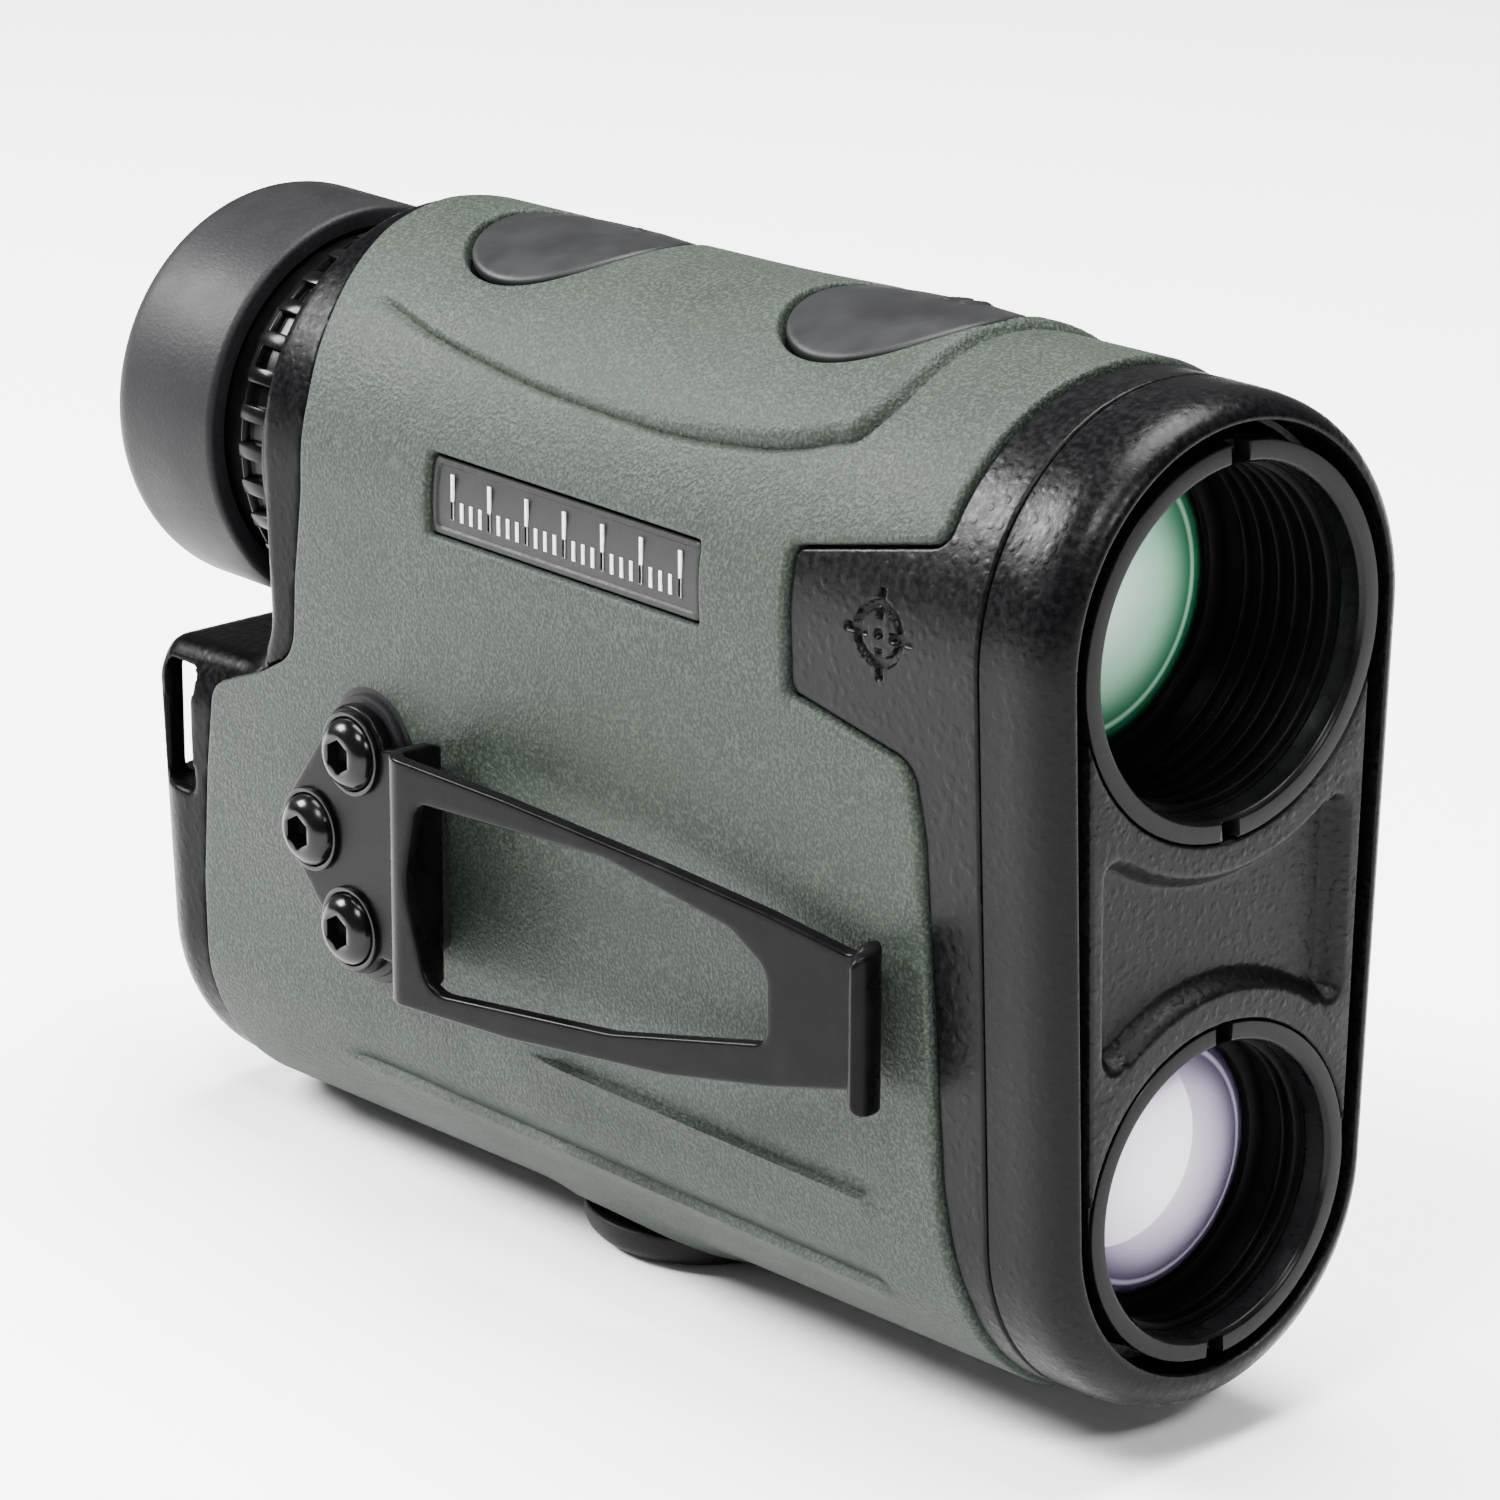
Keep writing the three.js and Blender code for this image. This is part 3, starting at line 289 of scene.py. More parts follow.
def settle(name, mesh, material, body, replaces, sharp, weld=True):
    shape = bmesh.new()
    shape.from_mesh(mesh)
    if weld:
        bmesh.ops.remove_doubles(shape, verts=shape.verts, dist=1e-7)
    loose = [v for v in shape.verts if not v.link_faces]
    bmesh.ops.delete(shape, geom=loose, context="VERTS")
    bmesh.ops.recalc_face_normals(shape, faces=shape.faces)
    shape.to_mesh(mesh)
    shape.free()
    mesh.shade_smooth()
    mesh.set_sharp_from_angle(angle=math.radians(sharp))
    made = bpy.data.objects.new(name, mesh)
    bpy.context.scene.collection.objects.link(made)
    made.data.materials.clear()
    made.data.materials.append(material)
    if body:
        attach(made, body)
    if replaces:
        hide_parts(*replaces)
    return made


def lattice(box, spacing):
    """Staggered points that fill a (low u, high u, low v, high v) box."""
    us = np.arange(box[0], box[1], spacing)
    vs = np.arange(box[2], box[3], spacing * 0.866)
    u, v = np.meshgrid(us, vs)
    u = u + (np.arange(len(vs)) % 2)[:, None] * spacing / 2
    return np.stack([u.ravel(), v.ravel()], 1)


def loop_links(loops):
    """Pairs of neighbours round each loop, numbered through all of them."""
    links, start = [], 0
    for loop in loops:
        count = len(loop)
        links += [(start + i, start + (i + 1) % count) for i in range(count)]
        start += count
    return links


def beside(line, offset, lines):
    """Points at an offset on both sides of a line, without those that come nearer to another line."""
    along = np.gradient(line, axis=0)
    across = np.stack([-along[:, 1], along[:, 0]], 1)
    across /= np.maximum(np.linalg.norm(across, axis=1)[:, None], 1e-9)
    both = [line + across * offset * side for side in ((1, -1) if offset else (1,))]
    return [moved[line_distance(moved, lines) > offset * 0.97 - 1e-6] for moved in both]


def skin(outer, holes, fill, rise, under, place, edges=None, rings=(), grid=0.8, patches=(), seam=None):
    """A sheet with thickness over an outline, as (points, faces).

    outer and holes are closed loops; fill is the box that the grid covers. rise and under give the
    height of the two faces at places on the sheet, from the distance to the nearest edge. rings are
    (lines, offsets) where extra rows of points follow a line. patches are (box, spacing) refinements.
    Where v is plus or minus seam, the sheet goes on round the body and has no edge.
    """
    loops = [outer, *holes]
    edges = edges or [closed_line(loop) for loop in loops]
    border = np.vstack(loops)
    links = loop_links(loops)
    extra = [part for lines, offsets in rings for offset in offsets for line in lines
             for part in beside(line, offset, lines)]
    spread = max([max(offsets) for _, offsets in rings], default=0)
    all_ring_lines = [line for lines, _ in rings for line in lines]
    points = lattice(fill, grid)
    for box, spacing in patches:
        inside = ((points[:, 0] > box[0]) & (points[:, 0] < box[1])
                  & (points[:, 1] > box[2]) & (points[:, 1] < box[3]))
        points = np.vstack([points[~inside], lattice(box, spacing)])
    if all_ring_lines:
        near = line_distance(points, all_ring_lines)
        points = points[near > spread + grid * 0.45]
    if extra:
        extra = np.vstack(extra)
        extra = extra[line_distance(extra, edges) > 0.05]
        points = np.vstack([points, extra])
    points = points[line_distance(points, edges) > 0.05]

    def face_of(inner, height, flip):
        places = np.vstack([border, inner])
        out, faces, origin = triangles(places, links, loops)
        index = {old: new for new, olds in enumerate(origin) for old in olds if old < len(border)}
        solid = place(out, height(out, line_distance(out, edges)))
        return solid, [tuple(reversed(f)) if flip else tuple(f) for f in faces], index

    upper, upper_faces, upper_index = face_of(points, rise, False)
    coarse = lattice(fill, max(grid * 5, 3.5))
    coarse = coarse[line_distance(coarse, edges) > 1.0]
    lower, lower_faces, lower_index = face_of(coarse, under, True)
    shift = len(upper)
    faces = upper_faces + [tuple(i + shift for i in f) for f in lower_faces]
    for a, b in links:
        if seam and min(abs(border[a][1]), abs(border[b][1])) > seam - 1e-6:
            continue
        ua, ub, la, lb = upper_index[a], upper_index[b], lower_index[a] + shift, lower_index[b] + shift
        if ua != ub:
            faces.append((ua, la, lb, ub))
    return np.vstack([upper, lower]), faces


def strip_sheet(outer, holes, fill, rise, under, place, edges, grid):
    """A sheet whose two faces are both fine, as a bent strip needs."""
    loops = [outer, *holes]
    links = loop_links(loops)
    points = lattice(fill, grid)
    points = points[line_distance(points, edges) > 0.3 + grid * 0.45]
    rows = [part for line in edges for offset in (0.05, 0.14, 0.3) for part in beside(line, offset, edges)]
    flat, faces, origin = triangles(np.vstack([*loops, points, *rows]), links, loops)
    index = {old: new for new, olds in enumerate(origin) for old in olds}
    gap = line_distance(flat, edges)
    shift = len(flat)
    out = [tuple(f) for f in faces] + [tuple(i + shift for i in reversed(f)) for f in faces]
    for a, b in links:
        if index[a] != index[b]:
            out.append((index[a], index[a] + shift, index[b] + shift, index[b]))
    return np.vstack([place(flat, rise(flat, gap)), place(flat, under(flat, gap))]), out


def round_edge(edge, radius):
    """How far a rounded edge falls below its face at a distance in from the edge."""
    t = np.clip(1 - edge / radius, 0, 1)
    return radius * (1 - np.sqrt(1 - t ** 2))


EDGE_ROWS = (0.06, 0.16, 0.3, 0.5)


def loft(loops, closed=True):
    """Quads between loops of equal length; the last loop joins the first when closed."""
    count = len(loops[0])
    points = np.vstack(loops)
    faces = []
    for k in range(len(loops) if closed else len(loops) - 1):
        a, b = k * count, (k + 1) % len(loops) * count
        faces += [(a + i, a + (i + 1) % count, b + (i + 1) % count, b + i) for i in range(count)]
    return points, faces


def turned(profile, z, turns=160, warp=None, x0=0.0, upright=False):
    """A profile of (radius, x) points turned round an axis along X (or along Z, for upright).

    warp(radius, x, angle) may change the radius and x by angle, as for a notch or a hexagon.
    """
    angle = np.arange(turns) / turns * 2 * math.pi
    loops = []
    for radius, x in profile:
        r, along = np.full(turns, float(radius)), np.full(turns, float(x))
        if warp:
            r, along = warp(r, along, angle)
        if upright:
            loops.append(np.stack([x0 + r * np.cos(angle), r * np.sin(angle), z + along], 1))
        else:
            loops.append(np.stack([x0 + along, r * np.sin(angle), z + r * np.cos(angle)], 1))
    return loft(loops)


def bevelled(profile, size, steps=2):
    """A closed profile with every corner cut to a small round."""
    out = []
    count = len(profile)
    for i in range(count):
        here = np.array(profile[i], float)
        back, on = np.array(profile[i - 1]) - here, np.array(profile[(i + 1) % count]) - here
        lb, lo = np.linalg.norm(back), np.linalg.norm(on)
        cut = min(size, lb * 0.45, lo * 0.45)
        if here[0] < 1e-6 or cut < 1e-4:
            out.append(tuple(here))
            continue
        a, b = here + back / lb * cut, here + on / lo * cut
        for k in range(steps + 1):
            t = k / steps
            out.append(tuple(a * (1 - t) ** 2 + 2 * here * t * (1 - t) + b * t ** 2))
    return out


def egg(top_radius, top_z, low_radius, low_z, x, top_steps=72, side_steps=36):
    """Loop of points round two round ends joined by their tangents."""
    lean = math.asin((low_radius - top_radius) / (top_z - low_z))
    out = []
    for k in range(top_steps):
        turn = math.pi / 2 - lean - (math.pi - 2 * lean) * k / top_steps
        out.append((x, top_radius * math.sin(turn), top_z + top_radius * math.cos(turn)))
    left_top = np.array([x, -top_radius * math.cos(lean), top_z + top_radius * math.sin(lean)])
    left_low = np.array([x, -low_radius * math.cos(lean), low_z + low_radius * math.sin(lean)])
    out += [tuple(left_top + (left_low - left_top) * k / side_steps) for k in range(side_steps)]
    for k in range(top_steps):
        turn = lean - math.pi / 2 - (math.pi + 2 * lean) * k / top_steps
        out.append((x, low_radius * math.sin(turn), low_z + low_radius * math.cos(turn)))
    right_low, right_top = left_low * [1, -1, 1], left_top * [1, -1, 1]
    out += [tuple(right_low + (right_top - right_low) * k / side_steps) for k in range(side_steps)]
    return np.array(out)


def carved(distance, low, high, cell):
    """The surface where a distance field is zero, as (points, faces)."""
    axes = [np.arange(a, b + cell, cell) for a, b in zip(low, high)]
    x, y, z = np.meshgrid(*axes, indexing="ij", sparse=False)
    field = distance(x, y, z).astype(np.float32)
    grid = openvdb.FloatGrid(background=float(3 * cell))
    grid.copyFromArray(np.clip(field, -3 * cell, 3 * cell), tolerance=0.0)
    points, quads = grid.convertToQuads(isovalue=0.0)
    points = points * cell + np.array(low)
    return points, [tuple(q) for q in quads]


def round_join(a, b, radius):
    """Union of two solids' distances with a fillet where they meet."""
    return np.maximum(radius, np.minimum(a, b)) - np.hypot(
        np.maximum(radius - a, 0), np.maximum(radius - b, 0))


def round_cut(a, b, radius):
    """What two solids share, with the edge between them rounded."""
    return np.minimum(-radius, np.maximum(a, b)) + np.hypot(
        np.maximum(radius + a, 0), np.maximum(radius + b, 0))


# ---------------------------------------------------------------- shader arithmetic
class Wire:
    """A socket that takes part in Python arithmetic, adding Math nodes as it goes."""

    def __init__(self, shader, socket):
        self.shader = shader
        self.socket = socket

    def math(self, operation, *values, clamp=False):
        return self.shader.node("Math", dict(operation=operation, use_clamp=clamp), dict(enumerate(values)))

    def __add__(self, other):
        return self.math("ADD", self, other)

    def __sub__(self, other):
        return self.math("SUBTRACT", self, other)

    def __mul__(self, other):
        return self.math("MULTIPLY", self, other)

    def __truediv__(self, other):
        return self.math("DIVIDE", self, other)

    def __pow__(self, other):
        return self.math("POWER", self, other)

    def __radd__(self, other):
        return self.math("ADD", other, self)

    def __rsub__(self, other):
        return self.math("SUBTRACT", other, self)

    def __rmul__(self, other):
        return self.math("MULTIPLY", other, self)

    def ramp(self, low, high, start=0.0, end=1.0):
        """Runs from start to end as this goes from low to high."""
        values = {"Value": self, "From Min": low, "From Max": high, "To Min": start, "To Max": end}
        return self.shader.node("MapRange", dict(interpolation_type="SMOOTHSTEP"), values)


class Shader:
    """A material's node tree, with one method that adds any node."""

    def __init__(self, name):
        self.material = bpy.data.materials.new(name)
        self.material.use_nodes = True
        self.tree = self.material.node_tree
        self.tree.nodes.clear()
        self.place = self.node("TexCoord", {}, {}, "Object")

    def node(self, kind, settings, values, out=0):
        made = self.tree.nodes.new("ShaderNode" + kind)
        for name, value in settings.items():
            setattr(made, name, value)
        for key, value in values.items():
            if isinstance(value, Wire):
                self.tree.links.new(value.socket, made.inputs[key])
            else:
                made.inputs[key].default_value = value
        return Wire(self, made.outputs[out])

    def at(self, scale, stretch=(1, 1, 1)):
        """Object coordinates in units of scale millimetres."""
        size = [s / (scale * MM) for s in stretch]
        return self.node("Mapping", {}, {"Vector": self.place, "Scale": size})

    def noise(self, scale, detail=2.0, roughness=0.5, stretch=(1, 1, 1)):
        values = {"Vector": self.at(scale, stretch), "Scale": 1.0, "Detail": detail, "Roughness": roughness}
        return self.node("TexNoise", {}, values, "Fac")

    def cells(self, scale, feature="F1", stretch=(1, 1, 1)):
        values = {"Vector": self.at(scale, stretch), "Scale": 1.0}
        return self.node("TexVoronoi", dict(feature=feature), values, "Distance")

    def axis(self, name, centre=(0, 0, 0)):
        """One coordinate in millimetres from a centre in the optical frame."""
        moved = self.node("VectorMath", dict(operation="SUBTRACT"), {0: self.place, 1: list(row(centre))})
        split = self.tree.nodes.new("ShaderNodeSeparateXYZ")
        self.tree.links.new(moved.socket, split.inputs[0])
        return Wire(self, split.outputs[name]) * (1 / MM)

    def blend(self, factor, first, second):
        made = self.tree.nodes.new("ShaderNodeMix")
        made.data_type = "RGBA"
        for key, value in ((0, factor), (6, first), (7, second)):
            if isinstance(value, Wire):
                self.tree.links.new(value.socket, made.inputs[key])
            else:
                made.inputs[key].default_value = (*value, 1.0) if key else value
        return Wire(self, made.outputs[2])

    def bump(self, height, strength, distance, under=None):
        values = {"Height": height, "Strength": strength, "Distance": distance * MM}
        if under:
            values["Normal"] = under
        return self.node("Bump", {}, values)

    def finish(self, **values):
        sockets = {key.replace("_", " "): self.plain(value) for key, value in values.items()}
        made = self.node("BsdfPrincipled", {}, sockets)
        output = self.tree.nodes.new("ShaderNodeOutputMaterial")
        self.tree.links.new(made.socket, output.inputs["Surface"])
        return self.material

    @staticmethod
    def plain(value):
        return (*value, 1.0) if isinstance(value, tuple) and len(value) == 3 else value


# ---------------------------------------------------------------- finishes
def armour_rubber():
    """Grey-green moulded rubber, finely stippled, slightly mottled by handling."""
    s = Shader("armor_rubber")
    cloud = s.noise(14, 3, 0.55)
    grain = s.noise(0.27, 2, 0.55)
    pits = s.cells(0.42)
    tone = s.blend(cloud.ramp(0.3, 0.7), (0.0085, 0.0120, 0.0088), (0.0122, 0.0168, 0.0126))
    tone = s.blend(grain.ramp(0.44, 0.66, 0, 0.8), tone, (0.030, 0.039, 0.031))
    stipple = s.bump(grain, 0.9, 0.12)
    skin_normal = s.bump(pits, 0.4, 0.08, stipple)
    return s.finish(Base_Color=tone, Roughness=cloud.ramp(0.2, 0.8, 0.5, 0.62), Normal=skin_normal, IOR=1.25)


def housing_black(name="housing_black", rough=0.30, strength=0.6, scale=0.55, sheen=1.16):
    """Satin black moulding with a spark-eroded, orange-peel grain."""
    s = Shader(name)
    peel = s.noise(scale, 2, 0.5)
    drops = s.cells(scale * 1.7, "SMOOTH_F1")
    speck = drops.ramp(0.18, 0.42, 1, 0)
    tone = s.blend(peel.ramp(0.35, 0.75), (0.0008, 0.0008, 0.001), (0.002, 0.002, 0.0024))
    relief = s.bump(speck, 0.35 * strength, 0.10)
    relief = s.bump(peel, strength, 0.05, relief)
    return s.finish(Base_Color=tone, Roughness=peel.ramp(0.3, 0.7, rough, rough + 0.12), Normal=relief,
                    IOR=sheen)


def smooth_black(name, rough=0.22, tone=0.0015, sheen=1.15):
    """Machined and anodised parts: fine turning marks under a semi-gloss coat."""
    s = Shader(name)
    marks = s.noise(0.25, 2, 0.6, (4, 1, 1))
    dust = s.noise(3, 3, 0.6)
    colour = s.blend(dust.ramp(0.45, 0.8), (tone, tone, tone * 1.1), (tone * 1.9, tone * 1.9, tone * 2))
    return s.finish(Base_Color=colour, Roughness=dust.ramp(0.3, 0.75, rough, rough + 0.1),
                    Normal=s.bump(marks, 0.12, 0.02), IOR=sheen)


def cup_rubber():
    """Charcoal eyecup rubber: matte, fine-grained, a little dusty."""
    s = Shader("dark_rubber")
    grain = s.noise(0.33, 2.5, 0.6)
    dust = s.noise(7, 3, 0.6)
    colour = s.blend(dust.ramp(0.35, 0.75), (0.0022, 0.0022, 0.0028), (0.0036, 0.0036, 0.0044))
    colour = s.blend(grain.ramp(0.5, 0.7, 0, 0.5), colour, (0.008, 0.008, 0.0095))
    return s.finish(Base_Color=colour, Roughness=dust.ramp(0.2, 0.8, 0.48, 0.6),
                    Normal=s.bump(grain, 0.5, 0.07),
                    IOR=1.22)


def button_rubber():
    s = Shader("button_rubber")
    grain = s.noise(0.28, 2, 0.6)
    dust = s.noise(5, 2, 0.5)
    colour = s.blend(dust.ramp(0.3, 0.7), (0.0036, 0.0037, 0.0042), (0.0056, 0.0058, 0.0064))
    return s.finish(Base_Color=colour, Roughness=dust.ramp(0.2, 0.8, 0.42, 0.55),
                    Normal=s.bump(grain, 0.35, 0.05),
                    IOR=1.25)


def clip_steel():
    """Black-oxide spring steel, satin, with faint rolling marks along the strip."""
    s = Shader("clip_steel")
    grain = s.noise(0.3, 2, 0.6, (0.12, 1, 1))
    dust = s.noise(4, 3, 0.6)
    colour = s.blend(dust.ramp(0.4, 0.8), (0.0012, 0.0012, 0.0014), (0.003, 0.003, 0.0035))
    return s.finish(Base_Color=colour, Roughness=dust.ramp(0.25, 0.8, 0.24, 0.36),
                    Normal=s.bump(grain, 0.15, 0.02), IOR=1.13)


def lens_painted_reflection(name, z, radius, painted_reflection_tone, painted_mid_tone, painted_shade_tone, painted_rim_shade, rim_at=0.93):
    """Coated glass seen against its dark cell, with light painted into its colour: a pale painted reflection
    in the middle fading to painted shade towards a dark rim.
    """
    s = Shader(name)
    across, up = s.axis("Y", (0, 0, z)), s.axis("Z", (0, 0, z))
    out = (across * across + up * up) ** 0.5 * (1 / radius)
    haze = s.noise(6, 2, 0.5)
    # Painted reflection: a pale colour in the middle of the glass, darkening outward into painted shade.
    tone = s.blend(out.ramp(0.0, 0.62), painted_reflection_tone, painted_mid_tone)
    tone = s.blend(out.ramp(0.5, 0.86), tone, painted_shade_tone)
    # Painted highlight: a thin bright ring just inside the edge.
    tone = s.blend(out.ramp(0.80, 0.83) * out.ramp(0.83, 0.86, 1, 0), tone, painted_mid_tone)
    # Painted shade: a dark rim where the glass meets its cell.
    tone = s.blend(out.ramp(rim_at - 0.08, rim_at), tone, painted_rim_shade)
    return s.finish(Base_Color=tone, Roughness=haze.ramp(0.3, 0.8, 0.02, 0.05), IOR=1.55, Coat_Weight=1.0,
                    Coat_Roughness=0.015, Coat_IOR=1.6, Specular_IOR_Level=0.8)


def clear_glass():
    s = Shader("clear_glass")
    haze = s.noise(5, 2, 0.5)
    colour = s.blend(haze, (0.04, 0.05, 0.07), (0.07, 0.08, 0.11))
    return s.finish(Base_Color=colour, Roughness=haze.ramp(0.3, 0.8, 0.02, 0.06), IOR=1.52, Coat_Weight=1.0,
                    Coat_Roughness=0.01)


def bare_metal(name, low, high, rough):
    s = Shader(name)
    marks = s.noise(0.3, 2, 0.6, (6, 1, 1))
    tarnish = s.noise(2.5, 3, 0.6)
    return s.finish(Base_Color=s.blend(tarnish.ramp(0.35, 0.75), low, high), Metallic=1.0,
                    Roughness=tarnish.ramp(0.3, 0.8, rough, rough + 0.15), Normal=s.bump(marks, 0.2, 0.02))


def circuit_green():
    s = Shader("circuit_board")
    tracks = s.cells(1.6, "F1", (1, 1, 0.4))
    return s.finish(Base_Color=s.blend(tracks.ramp(0.35, 0.4), (0.012, 0.075, 0.03), (0.02, 0.13, 0.055)),
                    Roughness=tracks.ramp(0.35, 0.45, 0.4, 0.28), Normal=s.bump(tracks, 0.3, 0.05))


def cell_wrap():
    s = Shader("battery_wrap")
    length = s.axis("X")
    scuff = s.noise(2, 3, 0.6)
    colour = s.blend(length.ramp(-84.0, -83.6), (0.03, 0.03, 0.033), (0.16, 0.17, 0.19))
    colour = s.blend(scuff.ramp(0.6, 0.8, 0, 0.4), colour, (0.35, 0.36, 0.38))
    return s.finish(Base_Color=colour, Roughness=scuff.ramp(0.3, 0.8, 0.2, 0.4), Coat_Weight=0.4)


def badge_grey():
    s = Shader("badge_grey")
    grain = s.noise(0.4, 2, 0.6)
    colour = s.blend(grain.ramp(0.35, 0.7), (0.007, 0.0073, 0.0073), (0.011, 0.0115, 0.0115))
    return s.finish(Base_Color=colour, Roughness=grain.ramp(0.3, 0.7, 0.45, 0.6),
                    Normal=s.bump(grain, 0.3, 0.04),
                    IOR=1.25)


def mark_white():
    s = Shader("mark_white")
    wear = s.noise(0.9, 3, 0.6)
    colour = s.blend(wear.ramp(0.35, 0.6), (0.45, 0.46, 0.46), (0.62, 0.63, 0.62))
    return s.finish(Base_Color=colour, Roughness=wear.ramp(0.3, 0.7, 0.35, 0.55),
                    Normal=s.bump(wear, 0.1, 0.02))


ARMOUR = armour_rubber()
HOUSING = housing_black()
BEZEL = housing_black("bezel_black", 0.26, 0.4, 0.5)
PLATE = housing_black("plate_black", 0.36, 0.8, 0.42, 1.2)
REAR = housing_black("rear_black", 0.28, 0.35, 0.5, 1.1)
INNER = smooth_black("inner_black", 0.40, 0.001, 1.12)
ANODISED = smooth_black("anodised_black", 0.24, 0.0015, 1.18)
GLOSS = smooth_black("gloss_black", 0.18, 0.0012, 1.15)
CUP = cup_rubber()
BUTTON = button_rubber()
CLIP = clip_steel()
SCREW = smooth_black("screw_steel", 0.16, 0.0015, 1.25)
# Both lenses carry painted light: a pale painted reflection in the middle, a painted bright ring and painted
# shade at the rim.
GREEN = lens_painted_reflection("coated_glass_green", 0.0, OBJECTIVE["lens"],
                    (0.62, 0.84, 0.70), (0.34, 0.64, 0.46), (0.012, 0.13, 0.06), (0.0015, 0.008, 0.005))
VIOLET = lens_painted_reflection("coated_glass_violet", RECEIVER["z"], RECEIVER["lens"],
                     (0.66, 0.60, 0.68), (0.42, 0.36, 0.48), (0.06, 0.045, 0.09), (0.003, 0.002, 0.005))
GLASS = clear_glass()
BRASS = bare_metal("brass", (0.42, 0.27, 0.08), (0.62, 0.44, 0.18), 0.22)
NICKEL = bare_metal("bright_metal", (0.5, 0.5, 0.5), (0.7, 0.7, 0.69), 0.2)
BOARD = circuit_green()
WRAP = cell_wrap()
BADGE = badge_grey()
WHITE = mark_white()


# ---------------------------------------------------------------- repeats by geometry nodes
def scatter_tree(name, build):
    """A geometry tree with an object and a material input; build gives the turn of each copy."""
    tree = bpy.data.node_groups.new(name, "GeometryNodeTree")
    face = tree.interface
    face.new_socket(name="Geometry", in_out="INPUT", socket_type="NodeSocketGeometry")
    face.new_socket(name="Shape", in_out="INPUT", socket_type="NodeSocketObject")
    face.new_socket(name="Finish", in_out="INPUT", socket_type="NodeSocketMaterial")
    face.new_socket(name="Count", in_out="INPUT", socket_type="NodeSocketInt")
    face.new_socket(name="Centre", in_out="INPUT", socket_type="NodeSocketVector")
    face.new_socket(name="Step", in_out="INPUT", socket_type="NodeSocketVector")
    face.new_socket(name="Turn", in_out="INPUT", socket_type="NodeSocketVector")
    face.new_socket(name="Geometry", in_out="OUTPUT", socket_type="NodeSocketGeometry")

    def node(kind, settings=None, values=None):
        made = tree.nodes.new(kind)
        for key, value in (settings or {}).items():
            setattr(made, key, value)
        for key, value in (values or {}).items():
            if isinstance(value, bpy.types.NodeSocket):
                tree.links.new(value, made.inputs[key])
            else:
                made.inputs[key].default_value = value
        return made

    given = node("NodeGroupInput").outputs
    info = node("GeometryNodeObjectInfo", dict(transform_space="ORIGINAL"), {"Object": given["Shape"]})
    turn = build(node, given)
    line = node("GeometryNodeMeshLine", dict(mode="OFFSET"),
                {"Count": given["Count"], "Start Location": given["Centre"], "Offset": given["Step"]})
    points = node("GeometryNodeMeshToPoints", {}, {"Mesh": line.outputs[0]})
    copies = node("GeometryNodeInstanceOnPoints", {},
                  {"Points": points.outputs[0], "Instance": info.outputs["Geometry"], "Rotation": turn})
    real = node("GeometryNodeRealizeInstances", {}, {"Geometry": copies.outputs[0]})
    painted = node("GeometryNodeSetMaterial", {}, {"Geometry": real.outputs[0], "Material": given["Finish"]})
    out = node("NodeGroupOutput")
    tree.links.new(painted.outputs[0], out.inputs["Geometry"])
    return tree


def turning(node, given):
    """Each copy is turned by its number times the Turn input."""
    number = node("GeometryNodeInputIndex").outputs[0]
    scaled = node("ShaderNodeVectorMath", dict(operation="SCALE"), {0: given["Turn"], "Scale": number})
    euler = node("FunctionNodeEulerToRotation", {}, {0: scaled.outputs[0]})
    return euler.outputs[0]


ROW_TREE = scatter_tree("row_of_copies", turning)


def copies(name, points, faces, material, count, centre, step=(0, 0, 0), turn=(0, 0, 0)):
    """(points, faces) in metres of a row of copies of one small shape, made by the tree."""
    seed = bpy.data.meshes.new(name + "_seed")
    seed.from_pydata((np.asarray(points) * MM).tolist(), [], [list(f) for f in faces])
    seed_object = bpy.data.objects.new(name + "_seed", seed)
    carrier = bpy.data.objects.new(name + "_carrier", bpy.data.meshes.new(name + "_carrier"))
    for made in (seed_object, carrier):
        bpy.context.scene.collection.objects.link(made)
    modifier = carrier.modifiers.new("row", "NODES")
    modifier.node_group = ROW_TREE
    names = {item.name: item.identifier for item in ROW_TREE.interface.items_tree if item.in_out == "INPUT"}
    values = {"Shape": seed_object, "Finish": material, "Count": count, "Centre": tuple(row(centre)),
              "Step": tuple(np.array(step) * MM), "Turn": tuple(turn)}
    for key, value in values.items():
        modifier[names[key]] = value
    graph = bpy.context.evaluated_depsgraph_get()
    graph.update()
    mesh = bpy.data.meshes.new_from_object(carrier.evaluated_get(graph))
    carrier.modifiers.remove(modifier)
    for made in (carrier, seed_object):
        bpy.data.objects.remove(made)
    mesh.name = name
    return mesh


def joined(name, meshes, material, body, replaces, sharp=40.0):
    """One piece from several meshes already in the row frame."""
    shape = bmesh.new()
    for mesh in meshes:
        shape.from_mesh(mesh)
    whole = bpy.data.meshes.new(name)
    shape.to_mesh(whole)
    shape.free()
    return settle(name, whole, material, body, replaces, sharp, weld=False)


def mesh_of(name, points, faces):
    mesh = bpy.data.meshes.new(name)
    mesh.from_pydata(row(points).tolist(), [], [list(f) for f in faces])
    return mesh


# ---------------------------------------------------------------- armour
def at_heights(corners):
    """(x, z, radius) corners on the right side as (x, girth, radius)."""
    return [(x, girth_at(z, x), radius) for x, z, radius in corners]


def front_border():
    """Armour's front edge on the right side, from the middle of the top to the middle of the bottom."""
    flank = at_heights([
        (-12.4, 12, 8), (-12.5, 7.6, 1.3), (-26.7, 4.5, 0.8), (-26.7, -6.4, 0.8), (-14.1, -8.8, 2.4),
        (-13.1, -14, 6), (-12.4, -31, 20), (-12.0, -40, 10), (-10.4, -47, 8), (-10.1, -54, 8),
    ])
    return rounded([(-11.8, 0, 0), (-12.2, 8, 20), *flank, (-10.3, HALF, 0)], 0.4, closed=False)


